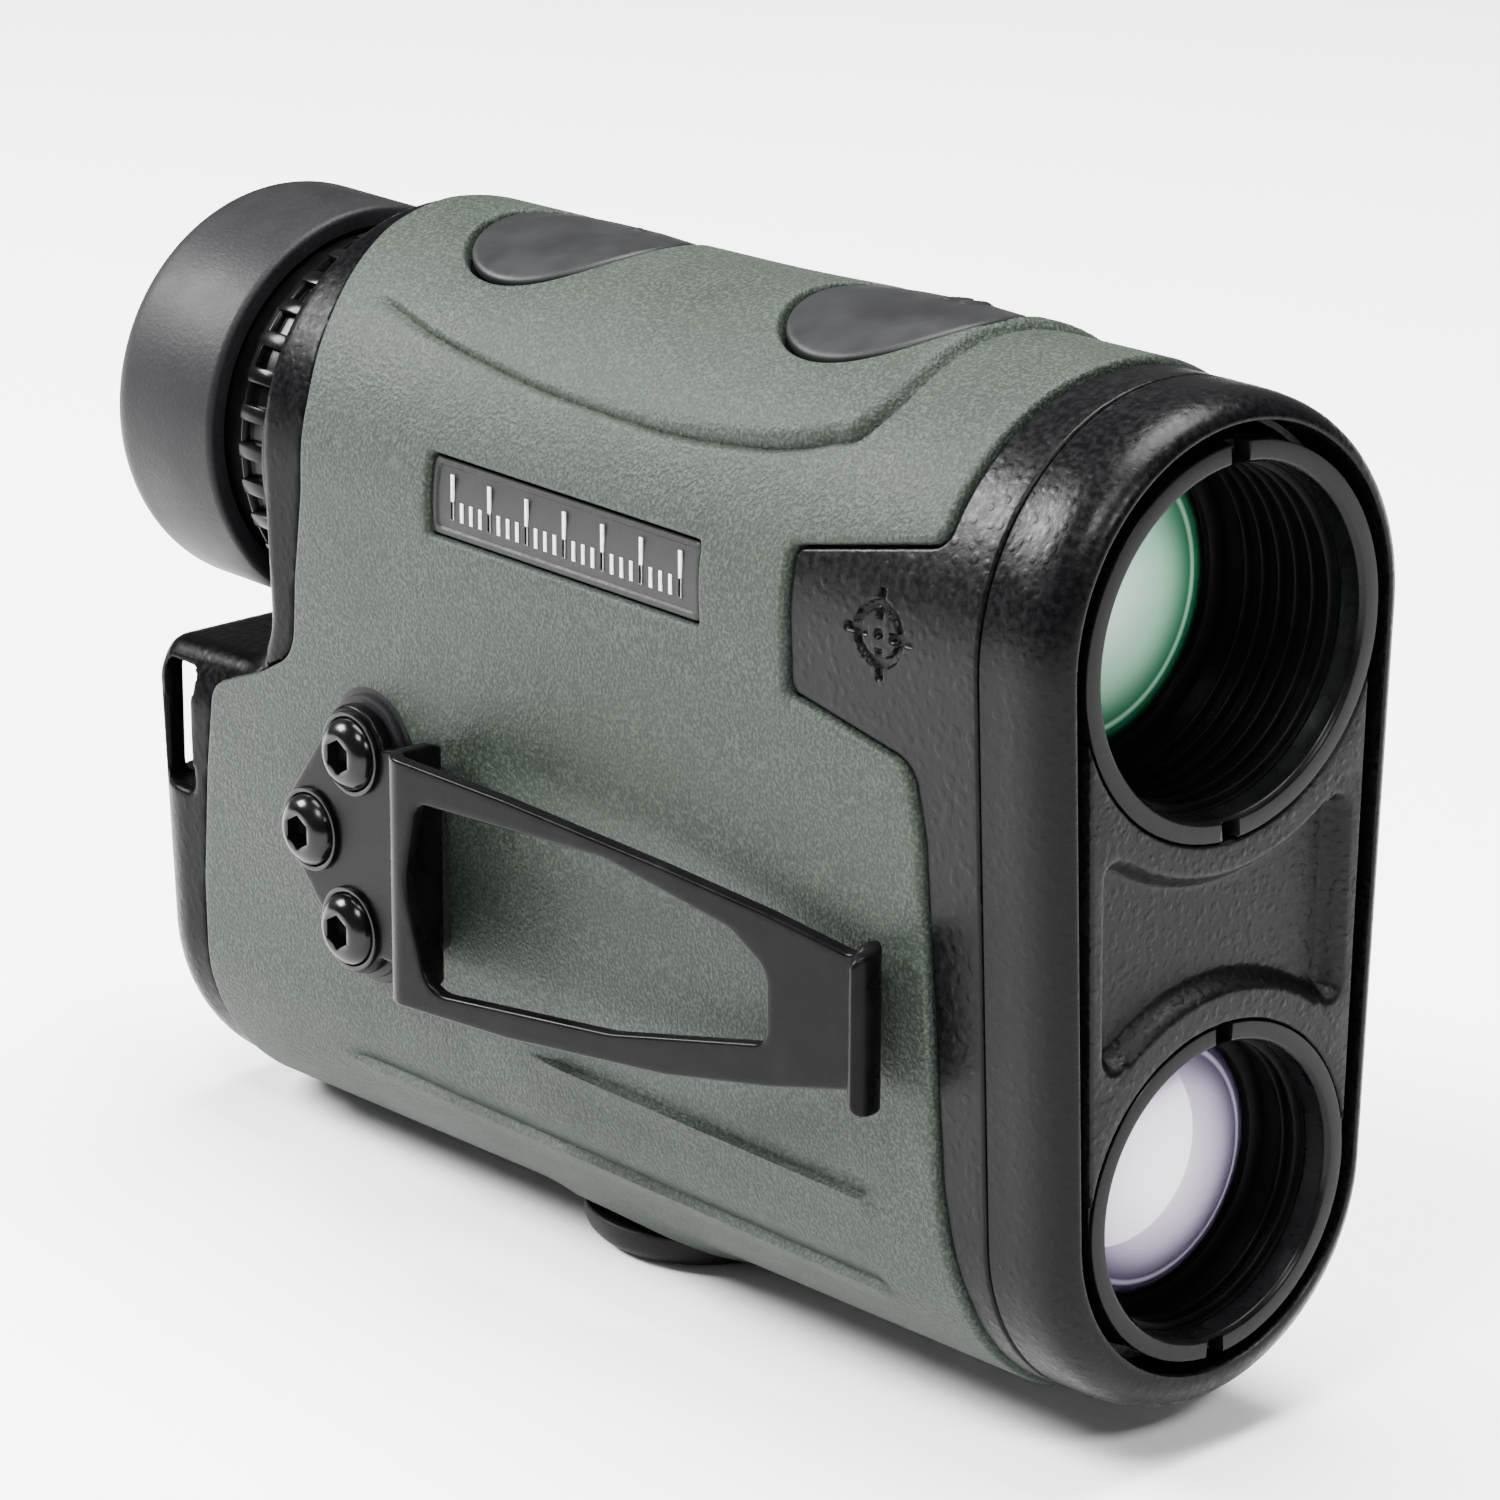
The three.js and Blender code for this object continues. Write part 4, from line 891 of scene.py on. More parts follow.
def rear_border():
    """Armour's rear edge on the right side, from the middle of the top to the middle of the bottom."""
    flank = at_heights([
        (-85.4, 14.8, 12), (-83.3, 9.5, 14), (-82.3, 4, 16), (-82.3, -3, 16), (-83.8, -11, 16),
        (-84.6, -17.6, 4.2), (-89.5, -20.3, 8), (-95.6, -22.6, 2.6), (-97.0, -30, 14), (-98.3, -40, 14),
        (-98.6, -47, 10), (-98.4, -54, 8),
    ])
    return rounded([(-86.0, 0, 0), *flank, (-98.2, HALF, 0)], 0.4, closed=False)


def both_sides(line):
    """The same line mirrored on to the left side, as one line round the whole body."""
    mirrored = line[::-1] * [1, -1]
    return np.vstack([mirrored[:-1], line])


FRONT_EDGE = both_sides(front_border())
REAR_EDGE = both_sides(rear_border())


def button_outline(centre_x, grow=0.0):
    """Almost round, drawn out a little to the front, as (x, girth)."""
    turn = np.arange(90) / 90 * 2 * math.pi
    radius = BUTTON_RADIUS + grow - 0.3 * np.cos(2 * turn)
    return np.stack([centre_x + 0.2 + radius * np.cos(turn), (radius + 0.2) * np.sin(turn)], 1)


def badge_outline(side, grow=0.0):
    rear, nose, top, low = -66.5 - grow, -36.0 + grow, 2.55 + grow, -3.5 - grow
    corners = at_heights([(rear, top, 0.35), (rear, low, 0.35), (nose, low, 0.35), (nose, top, 0.35)])
    return rounded([(x, side * g, r) for x, g, r in corners], 0.4)


def pod_line():
    """Groove round the raised top that carries the buttons, on the right side, from its rear end."""
    flank = at_heights([
        (-81.0, 10.6, 0), (-78.6, 11.2, 0), (-76.4, 11.0, 0), (-73.6, 10.55, 0), (-71.2, 10.2, 0),
        (-66.2, 9.7, 0), (-58.7, 9.1, 0), (-51.5, 8.85, 0), (-44.9, 8.8, 0),
        (-40.5, 8.95, 0), (-36.5, 9.3, 0),
        (-32.3, 9.8, 0), (-28.9, 10.5, 0), (-26.4, 11.3, 0),
    ])
    across = [(-24.3, 14.4), (-23.0, 11.2), (-22.9, 7.4), (-23.2, 3.6), (-23.4, 0)]
    return smooth_line([(x, g) for x, g, _ in flank] + across, 0.35)


POD_SIDE = pod_line()
POD = [np.vstack([POD_SIDE, POD_SIDE[::-1][1:] * [1, -1]])]
POD_FLANK = POD_SIDE[POD_SIDE[:, 0] < -26.4]
POD_NOSE = POD_SIDE[POD_SIDE[:, 0] >= -26.4][::-1]


def in_pod(x, girth):
    far = np.abs(girth)
    nose = np.interp(far, POD_NOSE[:, 1], POD_NOSE[:, 0])
    return (x < nose) & (far < np.interp(x, POD_FLANK[:, 0], POD_FLANK[:, 1]))


def rub_lines(side):
    """Two shallow ledges low on each side, as lines of (x, girth) running forward."""
    upper_rear = -57.5 if side > 0 else -82.0
    upper = at_heights([(upper_rear, -42.9, 0), (-18.6, -42.9, 0)])
    lower = at_heights([(-82.5, -49.1, 0), (-18.6, -49.2, 0)])
    return [resample([(x, side * g) for x, g, _ in line], 0.45) for line in (upper, lower)]


RUBS = rub_lines(1) + rub_lines(-1)


def pod_height(places):
    """How far the raised top stands proud, with its groove."""
    x, girth = places[:, 0], places[:, 1]
    gap = line_distance(places, POD)
    lift = 0.62 * step_up(x, -54, -28) * in_pod(x, girth) * step_up(gap, 0.0, 1.2)
    groove = 0.42 * step_up(x, -81.5, -76) * np.exp(-(gap / 0.28) ** 2)
    return lift - groove


def rub_height(places):
    """Each ledge: the face sinks towards it from above and steps out below it."""
    x, girth = places[:, 0], places[:, 1]
    total = np.zeros(len(places))
    for line in RUBS:
        start, end = line[0], line[-1]
        below = np.abs(girth) - np.interp(x, line[:, 0], np.abs(line[:, 1]))
        ends = step_up(x, start[0] - 0.5, start[0] + 5) * (1 - step_up(x, end[0] - 1.5, end[0] + 0.4))
        sunk, proud = -0.42 * np.exp(-(below / 1.4) ** 2), 0.30 * np.exp(-(below / 1.1) ** 2)
        out = step_up(below, -0.13, 0.13)
        total += (girth * start[1] > 0) * ends * (sunk * (1 - out) + proud * out)
    return total


def boss_flare(places):
    """The armour swells a little round the tripod foot, in a long low bulge."""
    y, _, _, nz = section(places[:, 1])
    reach = np.hypot((places[:, 0] - BOSS_X - 1.5) / 15, y / 13)
    return 1.2 * (1 - step_up(reach, 0.45, 1.0)) * step_up(-nz, 0.15, 0.5)


def armour_rise(places, edge):
    return pod_height(places) + rub_height(places) + boss_flare(places) - round_edge(edge, 0.45)


def boss_bite(side):
    """Half of the round opening for the tripod foot, from its front end to its rear end."""
    turn = np.linspace(0, math.pi, 48)
    reach = 9.7
    return np.stack([BOSS_X + reach * np.cos(turn), side * (HALF - reach * 1.02 * np.sin(turn))], 1)


def build_armour():
    bites = [boss_bite(1), boss_bite(-1)]
    bites[0][[0, -1], 1], bites[1][[0, -1], 1] = HALF, -HALF
    ahead = resample([FRONT_EDGE[-1], bites[0][0]], 0.8)[1:-1]
    behind = resample([bites[0][-1], REAR_EDGE[-1]], 0.8)[1:-1]
    right = np.vstack([ahead, bites[0], behind])
    outer = np.vstack([FRONT_EDGE, right, REAR_EDGE[::-1], right[::-1] * [1, -1]])
    holes = [button_outline(MEASURE_X, 0.30), button_outline(MENU_X, 0.30), badge_outline(1, 0.2),
             badge_outline(-1, 0.2)]
    edges = [FRONT_EDGE, REAR_EDGE, *bites] + [closed_line(h) for h in holes]
    rings = [(edges, EDGE_ROWS), (POD, (0.0, 0.16, 0.34, 0.55, 0.85)), (RUBS, (0.0, 0.13, 0.4, 0.85))]
    points, faces = skin(outer, holes, (-99.5, -9.5, -HALF, HALF), armour_rise,
                         lambda p, e: np.full(len(p), -ARMOUR_THICK), on_body, edges, rings, 0.62, seam=HALF)
    return piece("armour_skin", points, faces, ARMOUR, "body", ["rubber_armor"], 50)


# ---------------------------------------------------------------- front housing and bezel
EMBLEM = (-17.2, 0.2)


def emblem_depth(places):
    """An engraved sight mark on each wing: a ring, four ticks and a dot."""
    u = places[:, 0] - EMBLEM[0]
    v = np.abs(places[:, 1]) - girth_at(EMBLEM[1], EMBLEM[0])
    radius = np.hypot(u, v)
    ring = 1 - step_up(np.abs(radius - 2.15), 0.26, 0.40)
    tick_reach = step_up(radius, 1.1, 1.24) * (1 - step_up(radius, 3.3, 3.44))
    level = (1 - step_up(np.abs(v), 0.22, 0.36)) * tick_reach
    upright = (1 - step_up(np.abs(u), 0.22, 0.36)) * tick_reach
    dot = 1 - step_up(radius, 0.3, 0.44)
    return np.maximum.reduce([ring, level, upright, dot])


def build_front_housing():
    """Black front housing behind the bezel, with a wing that reaches back over each flank."""
    along = np.gradient(FRONT_EDGE, axis=0)
    across = np.stack([np.abs(along[:, 1]), -along[:, 0] * np.sign(along[:, 1] + 1e-9)], 1)
    across /= np.maximum(np.linalg.norm(across, axis=1)[:, None], 1e-9)
    border = FRONT_EDGE + across * ARMOUR_GAP
    border[0], border[-1] = (border[-1][0], -HALF), (border[-1][0], HALF)
    seam = resample([(SEAM_X, -HALF), (SEAM_X, HALF)], 0.5)
    outer = np.vstack([border, resample([border[-1], seam[-1]], 0.6)[1:-1], seam[::-1],
                       resample([seam[0], border[0]], 0.6)[1:-1]])
    edges = [border, seam]
    centre = girth_at(EMBLEM[1], EMBLEM[0])
    boxes = [(EMBLEM[0] - 3.7, EMBLEM[0] + 3.7, side * centre - 3.7, side * centre + 3.7) for side in (1, -1)]

    def rise(places, edge):
        return -HOUSING_INSET - round_edge(edge, 0.3) - 0.4 * emblem_depth(places)

    points, faces = skin(outer, [], (-28, -7, -HALF, HALF), rise, lambda p, e: np.full(len(p), -2.6), on_body,
                         edges, [(edges, (0.04, 0.12, 0.22, 0.36))], 0.6,
                         patches=[(box, 0.16) for box in boxes], seam=HALF)
    return piece("front_housing_shell", points, faces, HOUSING, replaces=["front_housing"],
                 sharp=50)


# Bezel profile: (x, how far from the flank's outline (0) to the rim's inner edge (1)).
BEZEL_PROFILE = [
    (-7.15, 0.02), (-7.08, -0.01), (-6.9, 0.0), (-4.6, 0.0), (-3.3, 0.02), (-2.3, 0.075), (-1.5, 0.17),
    (-0.9, 0.30), (-0.45, 0.45), (-0.1, 0.63), (0.1, 0.80), (0.13, 0.90), (0.08, 0.97), (-0.1, 1.0),
    (-1.4, 1.03), (-4.2, 1.05), (-4.3, 1.30), (-5.6, 1.30), (-5.8, 0.9), (-7.0, 0.86), (-7.15, 0.8),
]


def build_bezel():
    """Rounded rim in front of the housing, lofted through egg-shaped loops."""
    loops = []
    for x, share in BEZEL_PROFILE:
        inward = max(share, 0)
        top = TOP_RADIUS - HOUSING_INSET + (RIM_TOP - TOP_RADIUS + HOUSING_INSET) * share
        low = LOW_RADIUS - HOUSING_INSET + (RIM_LOW - LOW_RADIUS + HOUSING_INSET) * share
        low_z = -DROP + 1.3 * inward + 0.25 * float(step_up(np.array(x), -6, 0))
        loops.append(egg(top, 0.4 * inward + x * DROOP * (1 - inward), low, low_z, x))
    points, faces = loft(loops)
    return piece("front_bezel_rim", points, faces, BEZEL, "body", ["front_bezel"], 35)


# ---------------------------------------------------------------- front plate
def build_front_plate():
    """Plate between the two optics: a waisted panel sunk into it, with sloping walls."""
    def arc_round(optic, start, end, count):
        """An arc just outside an optic's ring, as (y, z)."""
        radius = optic["ring"] + RING_GAP
        turn = np.linspace(start, end, count)
        return np.stack([radius * np.cos(turn), optic["z"] + radius * np.sin(turn)], 1)

    def side_turn(optic, z):
        """Angle at which the plate's side meets the optic's ring near height z."""
        half_width = 13.75 - z / RECEIVER["z"]
        return math.acos(min(0.9999, half_width / (optic["ring"] + RING_GAP)))

    top_start, low_start = side_turn(OBJECTIVE, -3), side_turn(RECEIVER, -38)
    top_arc = arc_round(OBJECTIVE, math.pi + top_start, 2 * math.pi - top_start, 120)
    low_arc = arc_round(RECEIVER, low_start, math.pi - low_start, 110)
    sides = [resample([top_arc[-1], low_arc[0]], 0.4)[1:-1], resample([low_arc[-1], top_arc[0]], 0.4)[1:-1]]
    outer = np.vstack([top_arc, sides[0], low_arc, sides[1]])
    panel = panel_outline()
    panel_line = [closed_line(panel)]

    def rise(places, edge):
        inside = inside_loops(places, [panel])
        gap = line_distance(places, panel_line)
        sunk = 1.65 * step_up(np.where(inside, gap, -gap), -0.15, 1.35)
        return -0.02 - sunk - round_edge(edge, 0.25)

    def place(places, height):
        return np.stack([height, places[:, 0], places[:, 1]], 1)

    edges = [closed_line(outer)]
    rings = [(edges, (0.05, 0.14, 0.25)), (panel_line, (0.0, 0.2, 0.4, 0.6, 0.8, 1.0, 1.2, 1.4))]
    points, faces = skin(outer, [], (-14, 14, -37, -4), rise, lambda p, e: np.full(len(p), -3.4), place,
                         edges, rings, 0.55)
    return piece("front_plate_panel", points, faces, PLATE, replaces=["front_plate"],
                 sharp=50)


def panel_outline():
    """Waisted outline: an arc under the objective, an arc over the receiver, nearly upright sides."""
    top_radius, low_radius, half, corner = 16.6, 15.0, 12.3, 1.4
    top_turn = math.acos(half / top_radius)
    low_turn = math.acos(half / low_radius * 0.97)
    top = [(top_radius * math.cos(t), top_radius * math.sin(t), 0)
           for t in np.linspace(math.pi + top_turn, 2 * math.pi - top_turn, 25)]
    low = [(low_radius * math.cos(t), RECEIVER["z"] + low_radius * math.sin(t), 0)
           for t in np.linspace(low_turn, math.pi - low_turn, 25)]
    for line in (top, low):
        line[0] = (*line[0][:2], corner)
        line[-1] = (*line[-1][:2], corner)
    return rounded(top + low, 0.35)


# ---------------------------------------------------------------- optics
def notched(optic):
    """Warp that cuts the two tool notches at the top and bottom of a retaining ring."""
    def warp(radius, x, angle):
        across = np.abs(np.sin(angle)) * radius
        cut = (across < optic["notch"] / 2) & (x > -1.25)
        return radius, np.where(cut & (radius > optic["bore"] + 0.3), np.minimum(x, -1.2), x)
    return warp


def build_optic(name, optic, lens_name, lens_material):
    """Retaining ring, baffled tube and front lens of one of the two front optics."""
    z, ring, bore, depth = optic["z"], optic["ring"], optic["bore"] + 0.05, optic["depth"]
    profile = bevelled([(bore, -depth), (ring, -depth), (ring, 0), (bore + 0.3, 0), (bore, -0.35)], 0.12, 3)
    points, faces = turned(profile, z, 360, notched(optic))
    piece(f"{name}_ring", points, faces, ANODISED, "body", [f"{name}_retaining_ring"], 30)
    start, collar, rear = -depth - 0.1, optic["collar_x"], optic["tube_rear"]
    thin = optic["bore"] + optic["wall"]
    tube = bevelled([(bore, rear), (thin, rear), (thin, collar), (ring - 0.3, collar), (ring - 0.3, start),
                     (bore, start)], 0.1, 2)
    tube_mesh = mesh_of(name + "_tube", *turned(tube, z, 200))
    crest = optic["bore"] - 0.42
    rib = bevelled([(bore + 0.05, -0.42), (bore + 0.05, 0.22), (crest, 0.10), (crest - 0.08, -0.02),
                    (crest, -0.12)], 0.05, 2)
    ribs = copies(name + "_ribs", *turned(rib, 0, 160), INNER, optic["ribs"], (start - 0.55, 0, z),
                  step=(-optic["pitch"], 0, 0))
    joined(f"{name}_baffle_tube", [tube_mesh, ribs], INNER, "body", [f"{name}_barrel"], 40)
    radius, crown, sag = optic["lens"], optic["lens_x"], optic["sag"]
    steps = 28
    face = [(radius * k / steps, crown - sag * (k / steps) ** 2) for k in range(steps + 1)]
    back = [(radius, crown - sag - 1.6), (0.0, crown - sag - 1.6)]
    points, faces = turned(face + back, z, 128)
    piece(lens_name + "_glass", points, faces, lens_material, replaces=[lens_name])
    seat, lip, rim = optic["bore"] + 0.03, radius - 0.75, radius - 0.05
    cell = bevelled([(lip, crown - sag * 0.9 + 0.75), (seat, crown - sag * 0.9 + 1.1),
                     (seat, crown - sag - 1.2), (rim, crown - sag - 1.2), (rim, crown - sag + 0.12),
                     (lip, crown - sag + 0.2)], 0.12, 2)
    points, faces = turned(cell, z, 200)
    piece(f"{name}_lens_cell", points, faces, INNER, sharp=35)


# ---------------------------------------------------------------- eyepiece
def build_eyepiece():
    """Gloss lip round the eyepiece, the diopter ring and the soft eyecup."""
    lip = bevelled([(13.4, -87.2), (LIP_RADIUS + 0.4, -87.2), (LIP_RADIUS + 0.4, -88.2), (LIP_RADIUS, -88.35),
                    (LIP_RADIUS, -89.05), (LIP_RADIUS - 0.9, -89.35), (13.4, -89.35)], 0.16, 3)
    points, faces = turned(lip, EYE_Z, 240)
    piece("eyepiece_lip", points, faces, GLOSS, sharp=30)
    build_diopter_ring()
    corner = [(CUP_RADIUS - CUP_CORNER * (1 - math.cos(t)), CUP_REAR + CUP_CORNER * (1 - math.sin(t)))
              for t in np.linspace(0, math.pi / 2, 12)]
    cup = [(14.9, -96.0), (CUP_RADIUS - 0.5, -96.0), (CUP_RADIUS - 0.25, -96.05), (CUP_RADIUS - 0.07, -96.25),
           (CUP_RADIUS, -96.6), (CUP_RADIUS, -104.5), (CUP_RADIUS, -106.4), *corner, (12.4, -109.97),
           (11.75, -109.85), (11.45, -109.5), (11.3, -108.8), (11.6, -105.2), (11.9, -104.9), (14.9, -104.6)]
    points, faces = turned(cup, EYE_Z, 220)
    piece("eyecup_rubber", points, faces, CUP, "eyecup", ["eyecup"], 40)


def build_diopter_ring():
    """A plain drum with a smooth rear bead, and rounded blocks all round it."""
    drum = bevelled([(13.55, -93.45), (14.75, -93.45), (15.35, -93.3), (15.45, -92.95), (15.0, -92.72),
                     (14.75, -92.6), (14.75, -90.2), (15.15, -90.1), (15.2, -89.85), (14.6, -89.72),
                     (13.55, -89.72)], 0.1, 2)
    points, faces = turned(drum, EYE_Z, 256)
    ring = mesh_of("drum", points, faces)
    block_points, block_faces = rounded_block(-93.3, -89.95, 0.66, 14.6, 15.6, 0.22)
    blocks = copies("blocks", block_points, block_faces, GLOSS, RIDGES, (0, 0, EYE_Z),
                    turn=(2 * math.pi / RIDGES, 0, 0))
    joined("diopter_ring_ribbed", [ring, blocks], GLOSS, "diopter", ["diopter_ring"], 35)


def rounded_block(rear, nose, half, low, high, edge):
    """A bar along X at the top of a round piece, with its upper edges rounded."""
    loops = []
    small = edge * 0.3
    for x, drop in ((rear, edge), (rear + small, small), (rear + edge, 0),
                    (nose - edge, 0), (nose - small, small), (nose, edge)):
        w, top = half - drop * 0.5, high - drop
        side = [(w - edge, top), (w - small, top - small), (w, top - edge), (w, low)]
        loops.append([(x, -y, z) for y, z in side[::-1]] + [(x, y, z) for y, z in side])
    points, faces = loft([np.array(loop) for loop in loops], closed=False)
    count = len(loops[0])
    last = len(points) - count
    return points, faces + [tuple(range(count)), tuple(range(last + count - 1, last - 1, -1))]


# ---------------------------------------------------------------- buttons
def build_button(name, body, centre_x, marks):
    """Soft pad that follows the curved top, slightly crowned, with raised tactile marks.

    Its outline leaves room for the slanting way in which the pad's sides move down past the armour.
    """
    outline = button_outline(centre_x, -0.14)

    def rise(places, edge):
        base = 0.62 * step_up(places[:, 0], -54, -28)
        crown = 0.30 * step_up(edge, 0.0, 5.5)
        u, v = places[:, 0] - centre_x, places[:, 1]
        return base * 0.9 - 0.12 + crown - round_edge(edge, 0.55) + marks(u, v)

    edges = [closed_line(outline)]
    points, faces = skin(outline, [], (centre_x - 10, centre_x + 10, -10, 10), rise,
                         lambda p, e: np.full(len(p), -0.75), on_body, edges,
                         [(edges, (0.07, 0.2, 0.36, 0.58))], 0.3)
    return piece(name + "_pad", points, faces, BUTTON, body, [name], 50)


def bars(*places):
    """Raised rounded bars of (centre u, centre v, half length along v, half width)."""
    def height(u, v):
        total = np.zeros(len(u))
        for cu, cv, long, wide in places:
            gap = np.hypot(u - cu, np.maximum(np.abs(v - cv) - long, 0))
            total = np.maximum(total, 0.22 * (1 - step_up(gap, wide * 0.4, wide)))
        return total
    return height


# ---------------------------------------------------------------- belt clip
PAD_FACE_Y = -17.76
STRIP = 1.2
TIP_ROLL = 1.9
ARM_FROM = 24.0                   # length along the strip from which it counts as the arm
CLIP_BASE_Y = PAD_FACE_Y - 0.3 - STRIP / 2
CLIP_BEND = (-64.6, -23.56)
CLIP_TIP = (-17.2, -18.55)


def clip_path():
    """Middle line of the strip in plan, (x, y): base, wall, arm and rolled tip, rear end first."""
    lean = np.array(CLIP_TIP) - np.array(CLIP_BEND)
    lean /= np.linalg.norm(lean)
    corners = [(-85.5, CLIP_BASE_Y, 0), (CLIP_BEND[0], CLIP_BASE_Y, 1.15), (*CLIP_BEND, 1.35), (*CLIP_TIP, 0)]
    flat = rounded(corners, 0.2, closed=False)
    centre = np.array(CLIP_TIP) + np.array([lean[1], -lean[0]]) * TIP_ROLL
    first = math.atan2(CLIP_TIP[1] - centre[1], CLIP_TIP[0] - centre[0])
    roll = [centre + TIP_ROLL * np.array([math.cos(first - t), math.sin(first - t)])
            for t in np.linspace(0, 2.3, 26)[1:]]
    return np.vstack([flat, roll])


CLIP_PATH = clip_path()
CLIP_LENGTH = np.concatenate([[0], np.cumsum(np.linalg.norm(np.diff(CLIP_PATH, axis=0), axis=1))])


def strip_at(x, after=0.0):
    """Length along the strip where its arm (or its base) has this x."""
    past = CLIP_LENGTH >= after
    return float(np.interp(x, CLIP_PATH[past][:, 0], CLIP_LENGTH[past]))


def on_strip(places, height):
    t = places[:, 0]
    x, y = np.interp(t, CLIP_LENGTH, CLIP_PATH[:, 0]), np.interp(t, CLIP_LENGTH, CLIP_PATH[:, 1])
    along = np.gradient(CLIP_PATH, CLIP_LENGTH, axis=0)
    ax, ay = np.interp(t, CLIP_LENGTH, along[:, 0]), np.interp(t, CLIP_LENGTH, along[:, 1])
    size = np.hypot(ax, ay)
    return np.stack([x + height * ay / size, y - height * ax / size, places[:, 1]], 1)


def build_clip():
    """One formed strip: a three-lobed base, a wall, a tapered arm with a long window, and a rolled tip."""
    def on_arm(corners):
        """(x, z, radius) corners on the arm as (length along the strip, z, radius)."""
        return [(strip_at(x, ARM_FROM), z, radius) for x, z, radius in corners]

    base_end = 85.5 + CLIP_BEND[0]
    arm_start, lip_start, tip = strip_at(-64.0, ARM_FROM), strip_at(-17.2, ARM_FROM), CLIP_LENGTH[-1]
    lobes = [(85.5 + x, z) for x, z in CLIP_SCREWS]
    lobe = 3.75
    trefoil = []
    for (u, z), first, last in zip(lobes, (0.10, 0.74, 0.97), (0.93, 1.26, 1.86)):
        turns = np.linspace(first, last, 22) * math.pi
        arc = [(u + lobe * math.cos(t), z + lobe * math.sin(t), 0) for t in turns]
        trefoil = arc[::-1] + trefoil
    outer = rounded([
        (arm_start, -19.15, 0.7),
        *on_arm([(-52, -19.75, 6), (-36, -21.05, 6), (-26, -22.05, 6), (-18, -23.2, 1)]),
        (lip_start + 0.9, -21.7, 0.9), (tip, -22.1, 1), (tip, -33.9, 1), (lip_start + 0.9, -34.3, 0.9),
        *on_arm([(-18, -33.4, 1), (-26, -35.3, 6), (-36, -37.1, 6), (-52, -38.55, 6)]),
        (arm_start, -38.9, 0.7), (base_end - 2.4, -38.6, 1.2), *trefoil,
        (base_end - 2.6, -20.6, 1), (base_end + 0.6, -19.2, 0.6),
    ], 0.35)
    window = rounded(on_arm([
        (-61.3, -22.2, 1.6), (-42.0, -21.85, 8), (-29.6, -24.1, 2.2), (-26.0, -26.4, 2.0),
        (-25.9, -32.0, 1.4), (-41.4, -35.3, 12), (-60.2, -37.05, 2.4), (-62.6, -29.0, 6),
    ]), 0.35)
    holes = [circle(u, z, 1.85, 40) for u, z in lobes]
    edges = [closed_line(loop_line) for loop_line in (outer, window, *holes)]

    def outer_face(places, edge):
        return STRIP / 2 - round_edge(edge, 0.3)

    def inner_face(places, edge):
        return -STRIP / 2 + round_edge(edge, 0.3)

    fill = (0, tip, -40, -18)
    points, faces = strip_sheet(outer, [window, *holes], fill, outer_face, inner_face, on_strip, edges, 0.45)
    made = piece("belt_clip", points, faces, CLIP, None, sharp=50)
    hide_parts("clip_base", "clip_arm")
    hinge = row([CLIP_BEND[0] + 0.6, CLIP_BEND[1] - 0.6, CLIP_MID_Z])
    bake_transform(made)
    return made


def build_clip_pad():
    """Moulded pad between the body and the clip, in two steps."""
    meshes = []
    steps = ((4.9, PAD_FACE_Y + 0.35, -15.0), (4.3, PAD_FACE_Y - 0.25, PAD_FACE_Y + 0.6))
    for reach, outside, inside in steps:
        corners = [(x + reach * math.cos(t), z + reach * math.sin(t), 0)
                   for (x, z), first, last in zip(CLIP_SCREWS, (0.06, 0.74, 1.0), (0.93, 1.26, 1.94))
                   for t in np.linspace(first, last, 20) * math.pi]
        loop = rounded(corners + [(-66.2, -37.2, 1.5), (-66.2, -22.4, 1.5)], 0.4)
        inward = loop.mean(0) - loop
        inward /= np.linalg.norm(inward, axis=1)[:, None]
        rings = []
        for shrink, y in ((0, inside), (0, outside + 0.3), (0.09, outside + 0.09), (0.3, outside)):
            moved = loop + inward * shrink
            rings.append(np.stack([moved[:, 0], np.full(len(loop), y), moved[:, 1]], 1))
        points, faces = loft(rings, closed=False)
        count = len(loop)
        faces += [tuple(range(count)), tuple(range(len(points) - 1, len(points) - count - 1, -1))]
        meshes.append(mesh_of("pad_step", points, faces))
    joined("clip_pad", meshes, CUP, "body", ["clip_mount_pad"], 35)


def hexagon_socket(radius, depth, angle):
    """Warp that turns the inner rows of a screw head into a hexagon socket with a closed floor."""
    sector = (angle % (math.pi / 3)) - math.pi / 6
    six = 1.22 / np.cos(sector)
    return np.where(radius < 0.01, 0.0, np.where(radius < 1.35, six, radius)), depth


def build_clip_screws():
    """Button-head screws with hexagon sockets, each in a thin collar."""
    head_y = CLIP_BASE_Y - STRIP / 2
    turns = 72
    head = [(2.85, 0.0), (2.9, 0.12), (2.88, 0.35), (2.75, 0.72), (2.45, 1.12), (2.05, 1.42), (1.7, 1.55),
            (1.48, 1.57), (1.3, 1.50), (1.3, 0.45), (0.0, 0.35)]
    collar = bevelled([(3.35, 0.0), (3.35, 0.42), (2.95, 0.42), (2.95, 0.0)], 0.12, 2)

    def facing_right(points, x, z):
        return np.stack([x + points[:, 1], head_y - points[:, 0], z + points[:, 2]], 1)

    for number, (x, z) in enumerate(CLIP_SCREWS, 1):
        points, faces = turned(head, 0, turns, hexagon_socket)
        faces = faces[:(len(head) - 1) * turns] + [tuple(range(turns))]
        screw = mesh_of("screw", facing_right(points, x, z), faces)
        points, faces = turned(collar, 0, turns)
        ring = mesh_of("collar", facing_right(points, x, z), faces)
        joined(f"clip_screw_head_{number}", [screw, ring], SCREW, "body", [f"clip_screw_{number}"],
               35)


